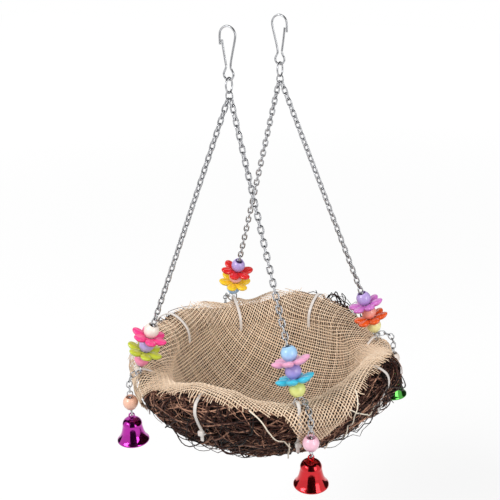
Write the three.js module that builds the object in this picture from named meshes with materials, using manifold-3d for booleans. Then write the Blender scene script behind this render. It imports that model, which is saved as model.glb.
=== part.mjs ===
// Hanging bird nest: a shallow vine bowl lined with burlap, slung on four steel chains from two wire
// snap hooks, with bead and flower stacks on the chains and a bell hanging outside each corner.
// Millimetres, +Z up. The origin is on the axis of the perch bar, midway between the two hooks.
// The bar runs along Y, so each hook lies in a plane parallel to XZ and everything hangs below.
import * as THREE from 'three';
import { mergeVertices } from 'three/addons/utils/BufferGeometryUtils.js';
import { ParametricGeometry } from 'three/addons/geometries/ParametricGeometry.js';
import Module from 'manifold-3d';

const wasm = await Module();
wasm.setup();

// Clearances
const GAP = 0.3;                    // between pieces that bear on each other
const FUSE = 0.2;                   // depth to which wires of one piece sink into each other

// Perch bar and snap hooks
const BAR_RADIUS = 1.5;
const HOOK_SPACING = 74;
const HOOK_LENGTH = 38;
const HOOK_WIRE_RADIUS = 0.75;
const HOOK_ARCH_RADIUS = 6.2;
const HOOK_NOSE_LENGTH = 6.3;
const HOOK_EYE_RADIUS = 3.9;
const HOOK_WAIST_HALF_WIDTH = 1.8;
const HOOK_WAIST_HEIGHT = 5.2;      // above the middle of the eye
const HOOK_EYE_MOUTH = Math.PI / 4; // half the opening of the eye's arc
const GATE_OVERLAP = 3.4;           // how far the sprung arm reaches up inside the nose
const WIRE_SIDES = 5;
const HOOK_ARCH_STEPS = 8;
const HOOK_EYE_STEPS = 8;
const HOOK_STEPS = 32;

// Hanger under each hook: an oval ring and the link that gathers two chains
const HANGER_WIRE_RADIUS = 0.65;
const HANGER_RING_WIDTH = 9.5;
const HANGER_RING_LENGTH = 12;
const GATHER_WIRE_RADIUS = 0.6;
const GATHER_LINK_WIDTH = 6.5;
const GATHER_LINK_LENGTH = 7.5;
const GATHER_SPREAD = 0.95;         // sideways place of each chain in the gathering link
const HANGER_RING_SEGMENTS = 12;
const GATHER_SEGMENTS = 4;

// Chains
const LINK_PITCH = 4.75;
const LINK_WIRE_RADIUS = 0.7;
const LINK_WIDTH = 5;
const LINK_SIDES = 3;
const LINK_SEGMENTS = 4;

// Corners of the nest, where the chains meet the rim
const CHAIN_DROP = 207;             // height of the gathering point above the rim rings
const RIM_WARP = 4.2;               // front-left and back-right corners sit this much lower
const RIM_RING_OUTSET = 7.395;      // from the crest of the rim out to the rim rings
const RIM_RING_RADIUS = 3.9;
const RIM_RING_WIRE_RADIUS = 0.6;
const RING_SIDES = 4;
const RING_SEGMENTS = 8;

// Vine bowl; heights are measured from the rim rings
const BOWL_RADIUS = 104.6;
const BOWL_SHIFT = new THREE.Vector2(3.4, 2);
const BOWL_WALL = 26;
const BOWL_FLOOR = 10;
const BOWL_BOTTOM = -72;
const BOWL_SHOULDER = -18.6;
const RIM_CENTRE = -18;             // foot of the rounded rim
const RIM_HEIGHT = 10;              // from there to its crest
const RIM_RISE = 13;                // by which the crest is higher midway between the corners
const CORNERS_PER_TURN = 4;
const CORNER_FACING = Math.PI / CORNERS_PER_TURN;
const BOWL_RADIAL_POWER = 2.9;
const BOWL_DEPTH_POWER = 1.23;
const BOWL_RINGS = [0, 0.32, 0.56, 0.78, 0.93, 1];
const BOWL_SEGMENTS = 32;
const RIM_STEPS = 5;
const VINE_TURNS = 6;               // bundles of vine wound round the outside, one below the other
const VINE_PITCH = 16;
const VINE_GROOVE = 4;              // depth between two bundles
const VINE_WANDER = 0.3;            // how far a bundle strays up and down, as part of the pitch
const VINE_WAVES = 2;               // times it does so in a turn
const VINE_PHASE = 1.5;             // by which the next bundle strays later, as an angle
const VINE_ROWS = 3;                // rows of points to a bundle

// Burlap, its edges just past the crest of the rim and its corners folded over it at the chains
const CLOTH_OVERHANG = 7.5;         // of the edges past the crest
const CLOTH_TONGUE = 27;            // by which the corners reach further
const CLOTH_TONGUE_SPREAD = 0.25;   // half the width of a corner's tongue, as an angle
const CLOTH_THICKNESS = 1;
const CLOTH_LIFT = 0.9;             // mean gap to the vines
const CLOTH_FLAP_LIFT = 2.8;        // the same outside the rim, where a tie runs under the flap
const CLOTH_FLARE = 1.6;            // more at the sides of a tongue
const CLOTH_FOLD_HEIGHT = 3;
const CLOTH_FOLD_START = 0.55;      // part of the way out where the folds begin
const CLOTH_FOLDS_PER_TURN = 16;
const CLOTH_HEM = 1;                // least width of the last row of cloth

// Nylon cable ties round the wall
const TIE_WIDTH = 2.5;
const TIE_THICKNESS = 1;
const TIE_HEAD = new THREE.Vector3(3.2, 4.4, 4);
const TIE_TAIL = 7;
const TIE_DEPTH = -33;
const TIE_STEPS = 13;
const TIE_STANDOFF = 3.3;           // from the vines to the middle of the strap over the cloth
const TIE_RIM_STANDOFF = 4;         // the same over the rim
const TIE_BARE_STANDOFF = 1;        // the same where no cloth lies under it
const TIE_ENTRY = -24;              // height where the strap goes into the wall inside
const TIE_RIM_TURN = Math.PI / 6;   // where the strap bends on to the rim
const TIE_OVER_CLOTH = 'back_left'; // the corner whose tie lies over the cloth inside, not under it
const TIE_RING_OFFSET = -1.2;       // sideways place inside a rim ring
const TIE_RING_HEIGHT = -0.9;
const TIE_CREST = 2.8;              // half the flat length over the rim
// Ties midway between the corners, the way each one faces and whether it lies over the cloth
const MIDDLES = [
  ['left_tie', Math.PI, true],
  ['front_tie', -Math.PI / 2, false],
  ['right_tie', 0, false],
  ['back_tie', Math.PI / 2, true],
];

// Beads and flowers threaded on the chains
const BEAD_RADIUS = 6;
const BEAD_LENGTH = 10;
const BORE_RADIUS = 3.2;
const BEAD_SEGMENTS = 8;
const BEAD_STEPS = 3;
const FLOWER_RADIUS = 14.5;
const FLOWER_WAIST = 7.2;
const FLOWER_THICKNESS = 2.4;
const FLOWER_CUP = 2.6;
const PETALS = 6;
const PETAL_POINTS = 5;
const PETAL_ROUNDNESS = 0.7;        // power of the sine that draws each petal's edge
const STACK_LIFT = 2.4;             // from the end of the chain to the lowest bead
const STACK = ['top_bead', 'upper_flower', 'middle_bead', 'lower_flower', 'bottom_bead'];

// Bell drops
const DROP_LINKS = 4;
const DROP_STANDOFF = 8.2;          // from the widest part of the bowl to the drop
const LEAN_END = -12;               // height where the drop hangs free
const BELL_RING_RADIUS = 3.4;
const BELL_RING_WIRE_RADIUS = 0.6;
const BELL_RADIUS = 12.8;
const BELL_HEIGHT = 20;
const BELL_WALL = 0.9;
const BELL_LOOP_RADIUS = 2;
const BELL_LOOP_WIRE_RADIUS = 0.6;
const BELL_SEGMENTS = 12;
// Outside of the bell from the crown down, as parts of its radius and height
const BELL_PROFILE = [[0.34, 0.02], [0.56, 0.13], [0.62, 0.32], [0.68, 0.56], [0.8, 0.8], [1, 0.96], [1, 1]];
const CLAPPER_RADIUS = 3;
const CLAPPER_STEM_RADIUS = 0.6;
const CLAPPER_SEGMENTS = 6;

// Finishes as colour, roughness and metalness
const STEEL = ['#c9ccd0', 0.25, 1];
const VINE = ['#3a261c', 0.85, 0];
const BURLAP = ['#c2a57c', 0.95, 0];
const NYLON = ['#eeeae4', 0.45, 0];
const GLOSS_PLASTIC = [0.35, 0];
const METAL_LACQUER = [0.22, 0.8];
// Colours of each corner: the stack from the top, then the bead and the bell of the drop
const PALETTE = {
  front_left: {
    stack: ['#f3ead9', '#ee3f86', '#b9a2dd', '#c3d93f', '#ee86a8'], dropBead: '#f4c5a6', bell: '#b02a9e',
  },
  front_right: {
    stack: ['#8cc9ee', '#f6a3bd', '#a996d8', '#35bfe0', '#d6dd62'], dropBead: '#f6bccb', bell: '#cf2a33',
  },
  back_right: {
    stack: ['#b79ae0', '#d976cf', '#f2a091', '#f0641f', '#ece27c'], dropBead: '#f3ead9', bell: '#4fa544',
  },
  back_left: {
    stack: ['#a78fd8', '#e3262f', '#f2b6c4', '#f4c521', '#8cc9ee'], dropBead: '#d6dd62', bell: '#2f6fc4',
  },
};

const WELD = 1e-4;                  // points nearer than this are one point
const UP = new THREE.Vector3(0, 0, 1);
const ALONG = new THREE.Vector3(0, 1, 0);
const group = new THREE.Group();
group.name = 'hanging_bird_nest';


// Adds one named piece with a material of its own.
function add(name, geometry, [color, roughness, metalness]) {
  const mesh = new THREE.Mesh(geometry, new THREE.MeshStandardMaterial({ color, roughness, metalness }));
  mesh.name = name;
  group.add(mesh);
}

// Turns a geometry into a solid for joining and cutting, without the flat triangles at its poles.
function solid(geometry) {
  const bare = geometry.clone();
  for (const key of Object.keys(bare.attributes)) {
    if (key !== 'position') {
      bare.deleteAttribute(key);
    }
  }
  const welded = mergeVertices(bare, WELD);
  const index = welded.index.array;
  const kept = [];
  for (let i = 0; i < index.length; i += 3) {
    const [a, b, c] = [index[i], index[i + 1], index[i + 2]];
    if (a !== b && b !== c && c !== a) {
      kept.push(a, b, c);
    }
  }
  const vertProperties = Float32Array.from(welded.attributes.position.array);
  const triVerts = Uint32Array.from(kept);
  return new wasm.Manifold(new wasm.Mesh({ numProp: 3, vertProperties, triVerts }));
}

// Turns a solid back into a geometry.
function geometryOf(body) {
  const mesh = body.getMesh();
  const geometry = new THREE.BufferGeometry();
  geometry.setAttribute('position', new THREE.BufferAttribute(Float32Array.from(mesh.vertProperties), 3));
  geometry.setIndex(new THREE.BufferAttribute(Uint32Array.from(mesh.triVerts), 1));
  geometry.computeVertexNormals();
  return geometry;
}

// Joins a list of overlapping geometries into one body.
function joined(geometries) {
  const [first, ...rest] = geometries.map(solid);
  return geometryOf(rest.reduce((body, next) => body.add(next), first));
}

// The part of a direction that lies square to an axis.
function squareTo(direction, axis) {
  return direction.clone().addScaledVector(axis, -direction.dot(axis)).normalize();
}

// A frame with its Z axis along `axis` and its X axis as near `side` as it can be.
function frameAt(origin, axis, side) {
  const x = squareTo(side, axis);
  const y = axis.clone().cross(x);
  return new THREE.Matrix4().makeBasis(x, y, axis).setPosition(origin);
}

// Draws a regular polygon as a shape or path, from its first corner.
function polygon(path, radius, sides, turn) {
  for (let k = 0; k < sides; k += 1) {
    const angle = turn * 2 * Math.PI * k / sides;
    path[k === 0 ? 'moveTo' : 'lineTo'](radius * Math.cos(angle), radius * Math.sin(angle));
  }
  return path;
}

// A body of revolution about Z from [radius, height] pairs.
function turned(profile, segments) {
  const points = profile.map(([radius, height]) => new THREE.Vector2(radius, height));
  return new THREE.LatheGeometry(points, segments).rotateX(Math.PI / 2);
}

// A closed wire loop in the XZ plane, `width` by `length` outside and centred on the origin. The wire
// has an edge on its inner side, and the loop has a flat at each end.
function wireLoop(width, length, wireRadius, sides, segments) {
  const flat = Math.cos(Math.PI / segments);
  const squared = segments % 4 === 0;
  const radius = (width / 2 - wireRadius) / (squared ? flat : 1);
  const profile = [];
  for (let k = 0; k <= sides; k += 1) {
    const angle = Math.PI + 2 * Math.PI * (k % sides) / sides;
    profile.push([radius + wireRadius * Math.cos(angle) / flat, wireRadius * Math.sin(angle)]);
  }
  const loop = turned(profile, segments);
  loop.rotateZ(squared ? Math.PI / segments : 0).rotateX(Math.PI / 2);
  const stretch = length / 2 - wireRadius - radius * flat;
  const position = loop.attributes.position;
  for (let i = 0; i < position.count; i += 1) {
    const z = position.getZ(i);
    if (Math.abs(z) > wireRadius) {
      position.setZ(i, z + Math.sign(z) * stretch);
    }
  }
  return loop;
}

// Chain links bear on the inner edges of their wires.
const LINK_HALF = (LINK_PITCH - FUSE) / 2 + LINK_WIRE_RADIUS;

// One link centred on a point, lying along `axis` with its width along `side`. Its length takes up
// the small difference between its pitch and the nominal one.
function linkAt(centre, axis, side, pitch) {
  const length = 2 * (LINK_HALF + LINK_WIRE_RADIUS) + pitch - LINK_PITCH;
  const link = wireLoop(LINK_WIDTH, length, LINK_WIRE_RADIUS, LINK_SIDES, LINK_SEGMENTS);
  return link.applyMatrix4(frameAt(centre, axis, side));
}

// Links at even steps along a curve, each turned a quarter on from the last. The first link's width
// lies along `side`; `twist` is spread over the run.
function linksAlong(curve, count, side, twist) {
  const links = [];
  for (let k = 0; k < count; k += 1) {
    const at = (k + 0.5) / count;
    const axis = curve.getTangentAt(at);
    const turn = k * Math.PI / 2 + twist * k / Math.max(count - 1, 1);
    const width = squareTo(side, axis).applyAxisAngle(axis, turn);
    links.push(linkAt(curve.getPointAt(at), axis, width, curve.getLength() / count));
  }
  return links;
}

// A round wire swept along a curve.
function wireAlong(curve, radius, steps, sides) {
  const section = polygon(new THREE.Shape(), radius, sides, 1);
  return new THREE.ExtrudeGeometry(section, { extrudePath: curve, steps });
}

// Hooks and their sprung arms
const ARCH_CENTRE = BAR_RADIUS + HOOK_WIRE_RADIUS - HOOK_ARCH_RADIUS;
const HOOK_TOP = BAR_RADIUS + 2 * HOOK_WIRE_RADIUS;
const EYE_BOTTOM = HOOK_TOP - HOOK_LENGTH + HOOK_WIRE_RADIUS;
const EYE_CENTRE = EYE_BOTTOM + HOOK_EYE_RADIUS;
const NOSE_END = ARCH_CENTRE - HOOK_NOSE_LENGTH;
const WAIST = EYE_CENTRE + HOOK_WAIST_HEIGHT;

// The hook's nose points to +X, or with `facing` -1 to -X.
function hookWire(y, facing) {
  const points = [new THREE.Vector3(facing * HOOK_ARCH_RADIUS, y, NOSE_END)];
  for (let k = 0; k <= HOOK_ARCH_STEPS; k += 1) {
    const angle = Math.PI * k / HOOK_ARCH_STEPS;
    points.push(new THREE.Vector3(facing * HOOK_ARCH_RADIUS * Math.cos(angle), y,
      ARCH_CENTRE + HOOK_ARCH_RADIUS * Math.sin(angle)));
  }
  points.push(new THREE.Vector3(-facing * HOOK_WAIST_HALF_WIDTH, y, WAIST));
  for (let k = 0; k <= HOOK_EYE_STEPS; k += 1) {
    const angle = HOOK_EYE_MOUTH + 2 * (Math.PI - HOOK_EYE_MOUTH) * k / HOOK_EYE_STEPS;
    points.push(new THREE.Vector3(-facing * HOOK_EYE_RADIUS * Math.sin(angle), y,
      EYE_CENTRE + HOOK_EYE_RADIUS * Math.cos(angle)));
  }
  points.push(new THREE.Vector3(facing * HOOK_WAIST_HALF_WIDTH, y, WAIST));
  const curve = new THREE.CatmullRomCurve3(points, false, 'centripetal');
  return wireAlong(curve, HOOK_WIRE_RADIUS, HOOK_STEPS, WIRE_SIDES);
}

function gateWire(y, facing) {
  const reach = HOOK_ARCH_RADIUS - 2 * HOOK_WIRE_RADIUS - GAP;
  const foot = new THREE.Vector3(facing * HOOK_WAIST_HALF_WIDTH, y, WAIST + 2 * GAP);
  const tip = new THREE.Vector3(facing * reach, y, NOSE_END + GATE_OVERLAP);
  return wireAlong(new THREE.LineCurve3(foot, tip), HOOK_WIRE_RADIUS, 1, WIRE_SIDES);
}

// Hangers: the ring's top wire rides in the eye, and the gathering link sits in the ring's foot.
const RING_TOP = EYE_BOTTOM + HOOK_WIRE_RADIUS + HANGER_WIRE_RADIUS + GAP;
const RING_HALF = HANGER_RING_LENGTH / 2 - HANGER_WIRE_RADIUS;
const RING_BOTTOM = RING_TOP - 2 * RING_HALF;
const GATHER_HALF = GATHER_LINK_LENGTH / 2 - GATHER_WIRE_RADIUS;
const GATHER_TOP = RING_BOTTOM + HANGER_WIRE_RADIUS + GATHER_WIRE_RADIUS - FUSE;
const GATHER_BOTTOM = GATHER_TOP - 2 * GATHER_HALF;

function hanger(y) {
  const ring = wireLoop(HANGER_RING_WIDTH, HANGER_RING_LENGTH, HANGER_WIRE_RADIUS, WIRE_SIDES,
    HANGER_RING_SEGMENTS);
  ring.rotateZ(Math.PI / 2).translate(0, y, RING_TOP - RING_HALF);
  const link = wireLoop(GATHER_LINK_WIDTH, GATHER_LINK_LENGTH, GATHER_WIRE_RADIUS, WIRE_SIDES,
    GATHER_SEGMENTS);
  link.translate(0, y, GATHER_TOP - GATHER_HALF);
  return joined([ring, link]);
}

// Rim of the bowl
const RIM_RADIUS = BOWL_WALL / 2;
const RIM_MIDDLE = BOWL_RADIUS - RIM_RADIUS;
const RIM_CREST = RIM_CENTRE + RIM_HEIGHT;

// Corners
const CORNER_HALF_SPACING = (RIM_MIDDLE + RIM_RING_OUTSET) * Math.SQRT1_2;
const RIM_LEVEL = GATHER_BOTTOM - CHAIN_DROP;

// Height of the warped rim above its mean level.
function warpAt(x, y) {
  return -RIM_WARP * x * y / CORNER_HALF_SPACING ** 2;
}

const corners = [
  { name: 'front_left', x: -1, y: -1 },
  { name: 'front_right', x: 1, y: -1 },
  { name: 'back_right', x: 1, y: 1 },
  { name: 'back_left', x: -1, y: 1 },
].map(({ name, x, y }) => {
  const centre = new THREE.Vector3(x, y, 0).multiplyScalar(CORNER_HALF_SPACING);
  const radial = centre.clone().normalize();
  const side = UP.clone().cross(radial);
  const reach = centre.length();
  centre.z = RIM_LEVEL + warpAt(centre.x, centre.y);
  const shift = BOWL_SHIFT.x * radial.x + BOWL_SHIFT.y * radial.y;
  const start = new THREE.Vector3(x * GATHER_SPREAD, y * HOOK_SPACING / 2,
    GATHER_BOTTOM + GATHER_WIRE_RADIUS + GAP + LINK_WIRE_RADIUS);
  const ringTop = centre.clone().addScaledVector(UP, RIM_RING_RADIUS);
  const axis = ringTop.clone().sub(start).normalize();
  const end = ringTop.clone().addScaledVector(axis, RIM_RING_WIRE_RADIUS + GAP + LINK_WIRE_RADIUS);
  return { name, centre, radial, side, reach, shift, start, end, axis };
});

// A sling chain: whole links from the gathering link to the rim ring, twisted so that the last one
// stands square to the ring's wire.
function slingChain({ start, end, axis, radial }) {
  const run = end.distanceTo(start) - 2 * LINK_HALF;
  const count = Math.round(run / LINK_PITCH) + 1;
  const pitch = run / (count - 1);
  const first = squareTo(ALONG, axis);
  const last = squareTo(radial, axis);
  const wanted = Math.atan2(first.clone().cross(last).dot(axis), first.dot(last));
  const halfTurns = (wanted - (count - 1) * Math.PI / 2) / Math.PI;
  const twist = (halfTurns - Math.round(halfTurns)) * Math.PI;
  const from = start.clone().addScaledVector(axis, LINK_HALF - pitch / 2);
  const curve = new THREE.LineCurve3(from, from.clone().addScaledVector(axis, pitch * count));
  return joined(linksAlong(curve, count, ALONG, twist));
}

// Where the free drop hangs: level with the end of the links that lean out over the rim.
function dropTop({ centre, radial, side, reach, shift }) {
  const out = BOWL_RADIUS + shift + DROP_STANDOFF - reach;
  return centre.clone().addScaledVector(side, RIM_RING_RADIUS)
    .addScaledVector(radial, out).addScaledVector(UP, LEAN_END);
}

// The line of the leaning links, from the side of the rim ring out and down past the rim.
function leanCurve(corner) {
  const { centre, radial, side } = corner;
  const inset = RIM_RING_WIRE_RADIUS - FUSE / 2;
  const from = centre.clone().addScaledVector(side, RIM_RING_RADIUS).addScaledVector(radial, -inset);
  const to = dropTop(corner);
  return new THREE.QuadraticBezierCurve3(from, new THREE.Vector3(to.x, to.y, centre.z), to);
}

function leanCount(corner) {
  return Math.round(leanCurve(corner).getLength() / LINK_PITCH);
}

// Rim ring, standing across the radius, with its leaning links.
function rimRing(corner) {
  const ring = new THREE.TorusGeometry(RIM_RING_RADIUS, RIM_RING_WIRE_RADIUS, RING_SIDES, RING_SEGMENTS);
  ring.applyMatrix4(frameAt(corner.centre, corner.radial, corner.side));
  return joined([ring, ...linksAlong(leanCurve(corner), leanCount(corner), corner.side, 0)]);
}

// Vine bowl, as a meridian from the middle of the floor inside, over the rim, to the floor outside.
function wallRing(part, radius, bottom) {
  const depth = (1 - part ** BOWL_RADIAL_POWER) ** (1 / BOWL_DEPTH_POWER);
  return new THREE.Vector2(part * radius, BOWL_SHOULDER + (bottom - BOWL_SHOULDER) * depth);
}

const INNER_RADIUS = BOWL_RADIUS - BOWL_WALL;
const INNER_BOTTOM = BOWL_BOTTOM + BOWL_FLOOR;
const meridian = BOWL_RINGS.map((part) => wallRing(part, INNER_RADIUS, INNER_BOTTOM));
for (let k = RIM_STEPS; k >= 0; k -= 1) {
  const angle = Math.PI * k / RIM_STEPS;
  meridian.push(new THREE.Vector2(RIM_MIDDLE + RIM_RADIUS * Math.cos(angle),
    RIM_CENTRE + RIM_HEIGHT * Math.sin(angle)));
}
meridian.push(...BOWL_RINGS.map((part) => wallRing(part, BOWL_RADIUS, BOWL_BOTTOM)).reverse());

// Height by which the scalloped rim lifts a point of the bowl: nothing at the middle, all at the crest.
function riseAt(radius, height, angle) {
  const part = (height - BOWL_BOTTOM) / (RIM_CREST - BOWL_BOTTOM) * radius / RIM_MIDDLE;
  return RIM_RISE * part * (1 + Math.cos(CORNERS_PER_TURN * angle)) / 2;
}

// Sets a point of the bowl, given by radius, height and angle, in its place in the frame.
function bowlPoint(radius, height, angle, target) {
  const x = radius * Math.cos(angle) + BOWL_SHIFT.x;
  const y = radius * Math.sin(angle) + BOWL_SHIFT.y;
  target.set(x, y, RIM_LEVEL + height + riseAt(radius, height, angle) + warpAt(x, y));
}

// A closed skin swept once round the bowl; `pointAt(k, angle)` gives row k as [radius, height].
function sweptSkin(rows, pointAt) {
  const place = (u, v, target) => {
    const angle = -2 * Math.PI * (Math.round(v * BOWL_SEGMENTS) % BOWL_SEGMENTS) / BOWL_SEGMENTS;
    const { x, y } = pointAt(Math.round(u * (rows - 1)), angle);
    bowlPoint(x, y, angle, target);
  };
  return new ParametricGeometry(place, rows - 1, BOWL_SEGMENTS);
}

// Distance along the meridian and the outward normal at each of its points
const distances = [0];
for (let k = 1; k < meridian.length; k += 1) {
  distances.push(distances[k - 1] + meridian[k].distanceTo(meridian[k - 1]));
}
const RIM_START = distances[BOWL_RINGS.length];
const RIM_END = distances[BOWL_RINGS.length + RIM_STEPS];
const CLOTH_ROWS = BOWL_RINGS.length + RIM_STEPS + 2;
const normals = meridian.map((_, k) => {
  const before = meridian[Math.max(k - 1, 0)];
  const after = meridian[Math.min(k + 1, meridian.length - 1)];
  const along = after.clone().sub(before).normalize();
  return k === 0 ? new THREE.Vector2(0, 1) : new THREE.Vector2(-along.y, along.x);
});

// Point at a distance along the meridian, raised off the vines.
function raised(distance, lift) {
  let k = 1;
  while (k < distances.length - 1 && distances[k] < distance) {
    k += 1;
  }
  const part = (distance - distances[k - 1]) / (distances[k] - distances[k - 1]);
  const point = meridian[k - 1].clone().lerp(meridian[k], part);
  const normal = normals[k - 1].clone().lerp(normals[k], part).normalize();
  return point.addScaledVector(normal, lift);
}

// Place on the bundles of vine, `turn` bundles down from the rim, sunk into the grooves between them.
function bundlePoint(turn, angle) {
  const wave = Math.sin(VINE_WAVES * angle + VINE_PHASE * turn);
  const stray = VINE_WANDER * Math.sin(Math.PI * turn / VINE_TURNS) * wave;
  const depth = VINE_GROOVE * (1 - Math.abs(Math.sin(Math.PI * turn)));
  return raised(RIM_END + (turn + stray) * VINE_PITCH, -depth);
}

// The bowl from the middle of the floor outside, over the bundles and the rim, to the floor inside.
function woundBowl() {
  const wound = VINE_TURNS * VINE_ROWS - 1;
  const smooth = BOWL_RINGS.length + RIM_STEPS;
  return sweptSkin(wound + smooth + 2, (k, angle) => {
    if (k === 0) {
      return meridian[meridian.length - 1];
    }
    return k <= wound ? bundlePoint((wound + 1 - k) / VINE_ROWS, angle) : meridian[wound + smooth + 1 - k];
  });
}

// Burlap: each ray of the flat sheet is laid along the meridian, and soft folds stand off the vines
// towards the edge between the corners.
function tongueAt(angle) {
  const fromCorner = Math.asin(Math.cos(CORNERS_PER_TURN / 2 * angle)) / 2;
  return Math.exp(-((fromCorner / CLOTH_TONGUE_SPREAD) ** 2));
}

function clothEdge(angle) {
  return (RIM_START + RIM_END) / 2 + CLOTH_OVERHANG + CLOTH_TONGUE * tongueAt(angle);
}

// Distance of row k from the middle: the rows follow the rows of the bowl, and those past the edge
// share out the last of the cloth.
function clothDistance(k, angle) {
  const edge = clothEdge(angle);
  let last = CLOTH_ROWS - 1;
  while (distances[last] > edge - CLOTH_HEM) {
    last -= 1;
  }
  if (k <= last) {
    return distances[k];
  }
  return distances[last] + (edge - distances[last]) * (k - last) / (CLOTH_ROWS - last);
}

function foldAt(distance, angle) {
  const edge = clothEdge(angle);
  const out = Math.max(distance / edge - CLOTH_FOLD_START, 0) / (1 - CLOTH_FOLD_START);
  const between = Math.cos(2 * angle) ** 2;
  return CLOTH_FOLD_HEIGHT * out * between * (1 - Math.cos(CLOTH_FOLDS_PER_TURN * angle)) / 2;
}

// Gap between the vines and the cloth, growing as the cloth passes over the rim.
function clothLift(distance, angle) {
  const over = (distance - RIM_START) / (RIM_END - RIM_START);
  const tongue = tongueAt(angle);
  const flap = CLOTH_FLAP_LIFT + 4 * CLOTH_FLARE * tongue * (1 - tongue);
  return CLOTH_LIFT + (flap - CLOTH_LIFT) * Math.min(Math.max(over, 0), 1);
}

function liner() {
  const pointAt = (row, angle) => {
    const upper = row > CLOTH_ROWS;
    const distance = clothDistance(upper ? 2 * CLOTH_ROWS + 1 - row : row, angle);
    const lift = clothLift(distance, angle) + foldAt(distance, angle) + (upper ? CLOTH_THICKNESS : 0);
    const point = raised(distance, lift);
    return distance === 0 ? point.setX(0) : point;
  };
  return sweptSkin(2 * CLOTH_ROWS + 2, pointAt);
}

// Cable ties: a strap from the head, over the rim, down inside and back out through the wall.
function wallRadius(height, radius, bottom) {
  const depth = Math.max((height - BOWL_SHOULDER) / (bottom - BOWL_SHOULDER), 0);
  return radius * (1 - depth ** BOWL_DEPTH_POWER) ** (1 / BOWL_RADIAL_POWER);
}

// Point of a strap that passes over the rim.
function overRim(angle, standoff) {
  return new THREE.Vector3(RIM_MIDDLE + (RIM_RADIUS + standoff) * Math.cos(angle), 0,
    RIM_CENTRE + (RIM_HEIGHT + standoff) * Math.sin(angle));
}

// The line of a tie; `outside` and `inside` say whether it lies over the cloth there or under it.
function tieCurve(top, facing, outside, inside) {
  const outerRim = outside ? TIE_RIM_STANDOFF : TIE_BARE_STANDOFF;
  const innerRim = inside ? TIE_RIM_STANDOFF : 0;
  const innerWall = inside ? TIE_STANDOFF : 0;
  const outer = (height, off) => {
    return new THREE.Vector3(wallRadius(height, BOWL_RADIUS, BOWL_BOTTOM) + off, 0, height);
  };
  const inner = (height, off) => {
    return new THREE.Vector3(wallRadius(height, INNER_RADIUS, INNER_BOTTOM) - off, 0, height);
  };
  const crest = new THREE.Vector3(TIE_CREST, 0, 0);
  const points = [
    outer(TIE_DEPTH, TIE_BARE_STANDOFF),
    outer((TIE_DEPTH + BOWL_SHOULDER) / 2, TIE_BARE_STANDOFF),
    outer(BOWL_SHOULDER, TIE_BARE_STANDOFF),
    overRim(TIE_RIM_TURN, outerRim),
    top.clone().add(crest),
    top.clone().sub(crest),
    overRim(Math.PI - 2 * TIE_RIM_TURN, innerRim),
    overRim(Math.PI - TIE_RIM_TURN, innerRim),
    inner(BOWL_SHOULDER, innerWall),
    inner(TIE_ENTRY, 0),
    outer(TIE_DEPTH - TIE_STANDOFF, 0),
    outer(TIE_DEPTH - TIE_STANDOFF, TIE_BARE_STANDOFF),
  ];
  for (const point of points) {
    point.z += riseAt(point.x, point.z, facing);
  }
  return new THREE.CatmullRomCurve3(points, false, 'centripetal');
}

function strap(curve, grow) {
  const [w, t] = [TIE_WIDTH / 2 + grow, TIE_THICKNESS / 2 + grow];
  const section = new THREE.Shape([
    new THREE.Vector2(-w, -t),
    new THREE.Vector2(w, -t),
    new THREE.Vector2(w, t),
    new THREE.Vector2(-w, t),
  ]);
  return new THREE.ExtrudeGeometry(section, { extrudePath: curve, steps: TIE_STEPS });
}

// A tie with its head, or with `grow` the slot it needs in what it passes through.
function tie(curve, grow) {
  const size = TIE_HEAD.clone().addScalar(2 * grow);
  const head = new THREE.BoxGeometry(size.x, size.y, size.z);
  const foot = curve.getPoint(0);
  head.translate(foot.x + TIE_HEAD.x / 2 - TIE_THICKNESS / 2, 0, foot.z - TIE_STANDOFF / 2);
  const tail = new THREE.BoxGeometry(TIE_THICKNESS, TIE_WIDTH, TIE_TAIL);
  tail.translate(foot.x, 0, foot.z - TIE_STANDOFF / 2 - TIE_TAIL / 2);
  return grow > 0 ? [strap(curve, grow), head] : [strap(curve, grow), head, tail];
}

const ties = [];
for (const corner of corners) {
  const top = new THREE.Vector3(corner.reach - corner.shift, 0, TIE_RING_HEIGHT);
  const curve = tieCurve(top, CORNER_FACING, false, corner.name === TIE_OVER_CLOTH);
  const place = frameAt(new THREE.Vector3(0, 0, corner.centre.z), UP, corner.radial);
  place.multiply(new THREE.Matrix4().makeTranslation(corner.shift, TIE_RING_OFFSET, 0));
  ties.push({ name: `${corner.name}_ring_tie`, curve, place });
}
for (const [name, angle, over] of MIDDLES) {
  const radial = new THREE.Vector3(Math.cos(angle), Math.sin(angle), 0);
  const shift = BOWL_SHIFT.x * radial.x + BOWL_SHIFT.y * radial.y;
  const curve = tieCurve(overRim(Math.PI / 2, over ? TIE_RIM_STANDOFF : 0), angle, over, over);
  const across = UP.clone().cross(radial);
  const off = BOWL_SHIFT.x * across.x + BOWL_SHIFT.y * across.y;
  const place = frameAt(new THREE.Vector3(0, 0, RIM_LEVEL), UP, radial);
  place.multiply(new THREE.Matrix4().makeTranslation(shift, off, 0));
  ties.push({ name, curve, place });
}

// Beads and flowers are turned about Z with the bore through the origin.
function bead() {
  const profile = [[BORE_RADIUS, -BEAD_LENGTH / 2]];
  const half = Math.acos(BEAD_LENGTH / 2 / BEAD_RADIUS);
  for (let k = 0; k <= BEAD_STEPS; k += 1) {
    const angle = -Math.PI / 2 + half + (Math.PI - 2 * half) * k / BEAD_STEPS;
    const radius = Math.max(BEAD_RADIUS * Math.cos(angle), BORE_RADIUS + 2 * GAP);
    profile.push([radius, BEAD_RADIUS * Math.sin(angle)]);
  }
  profile.push([BORE_RADIUS, BEAD_LENGTH / 2], [BORE_RADIUS, -BEAD_LENGTH / 2]);
  return turned(profile, BEAD_SEGMENTS);
}

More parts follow.
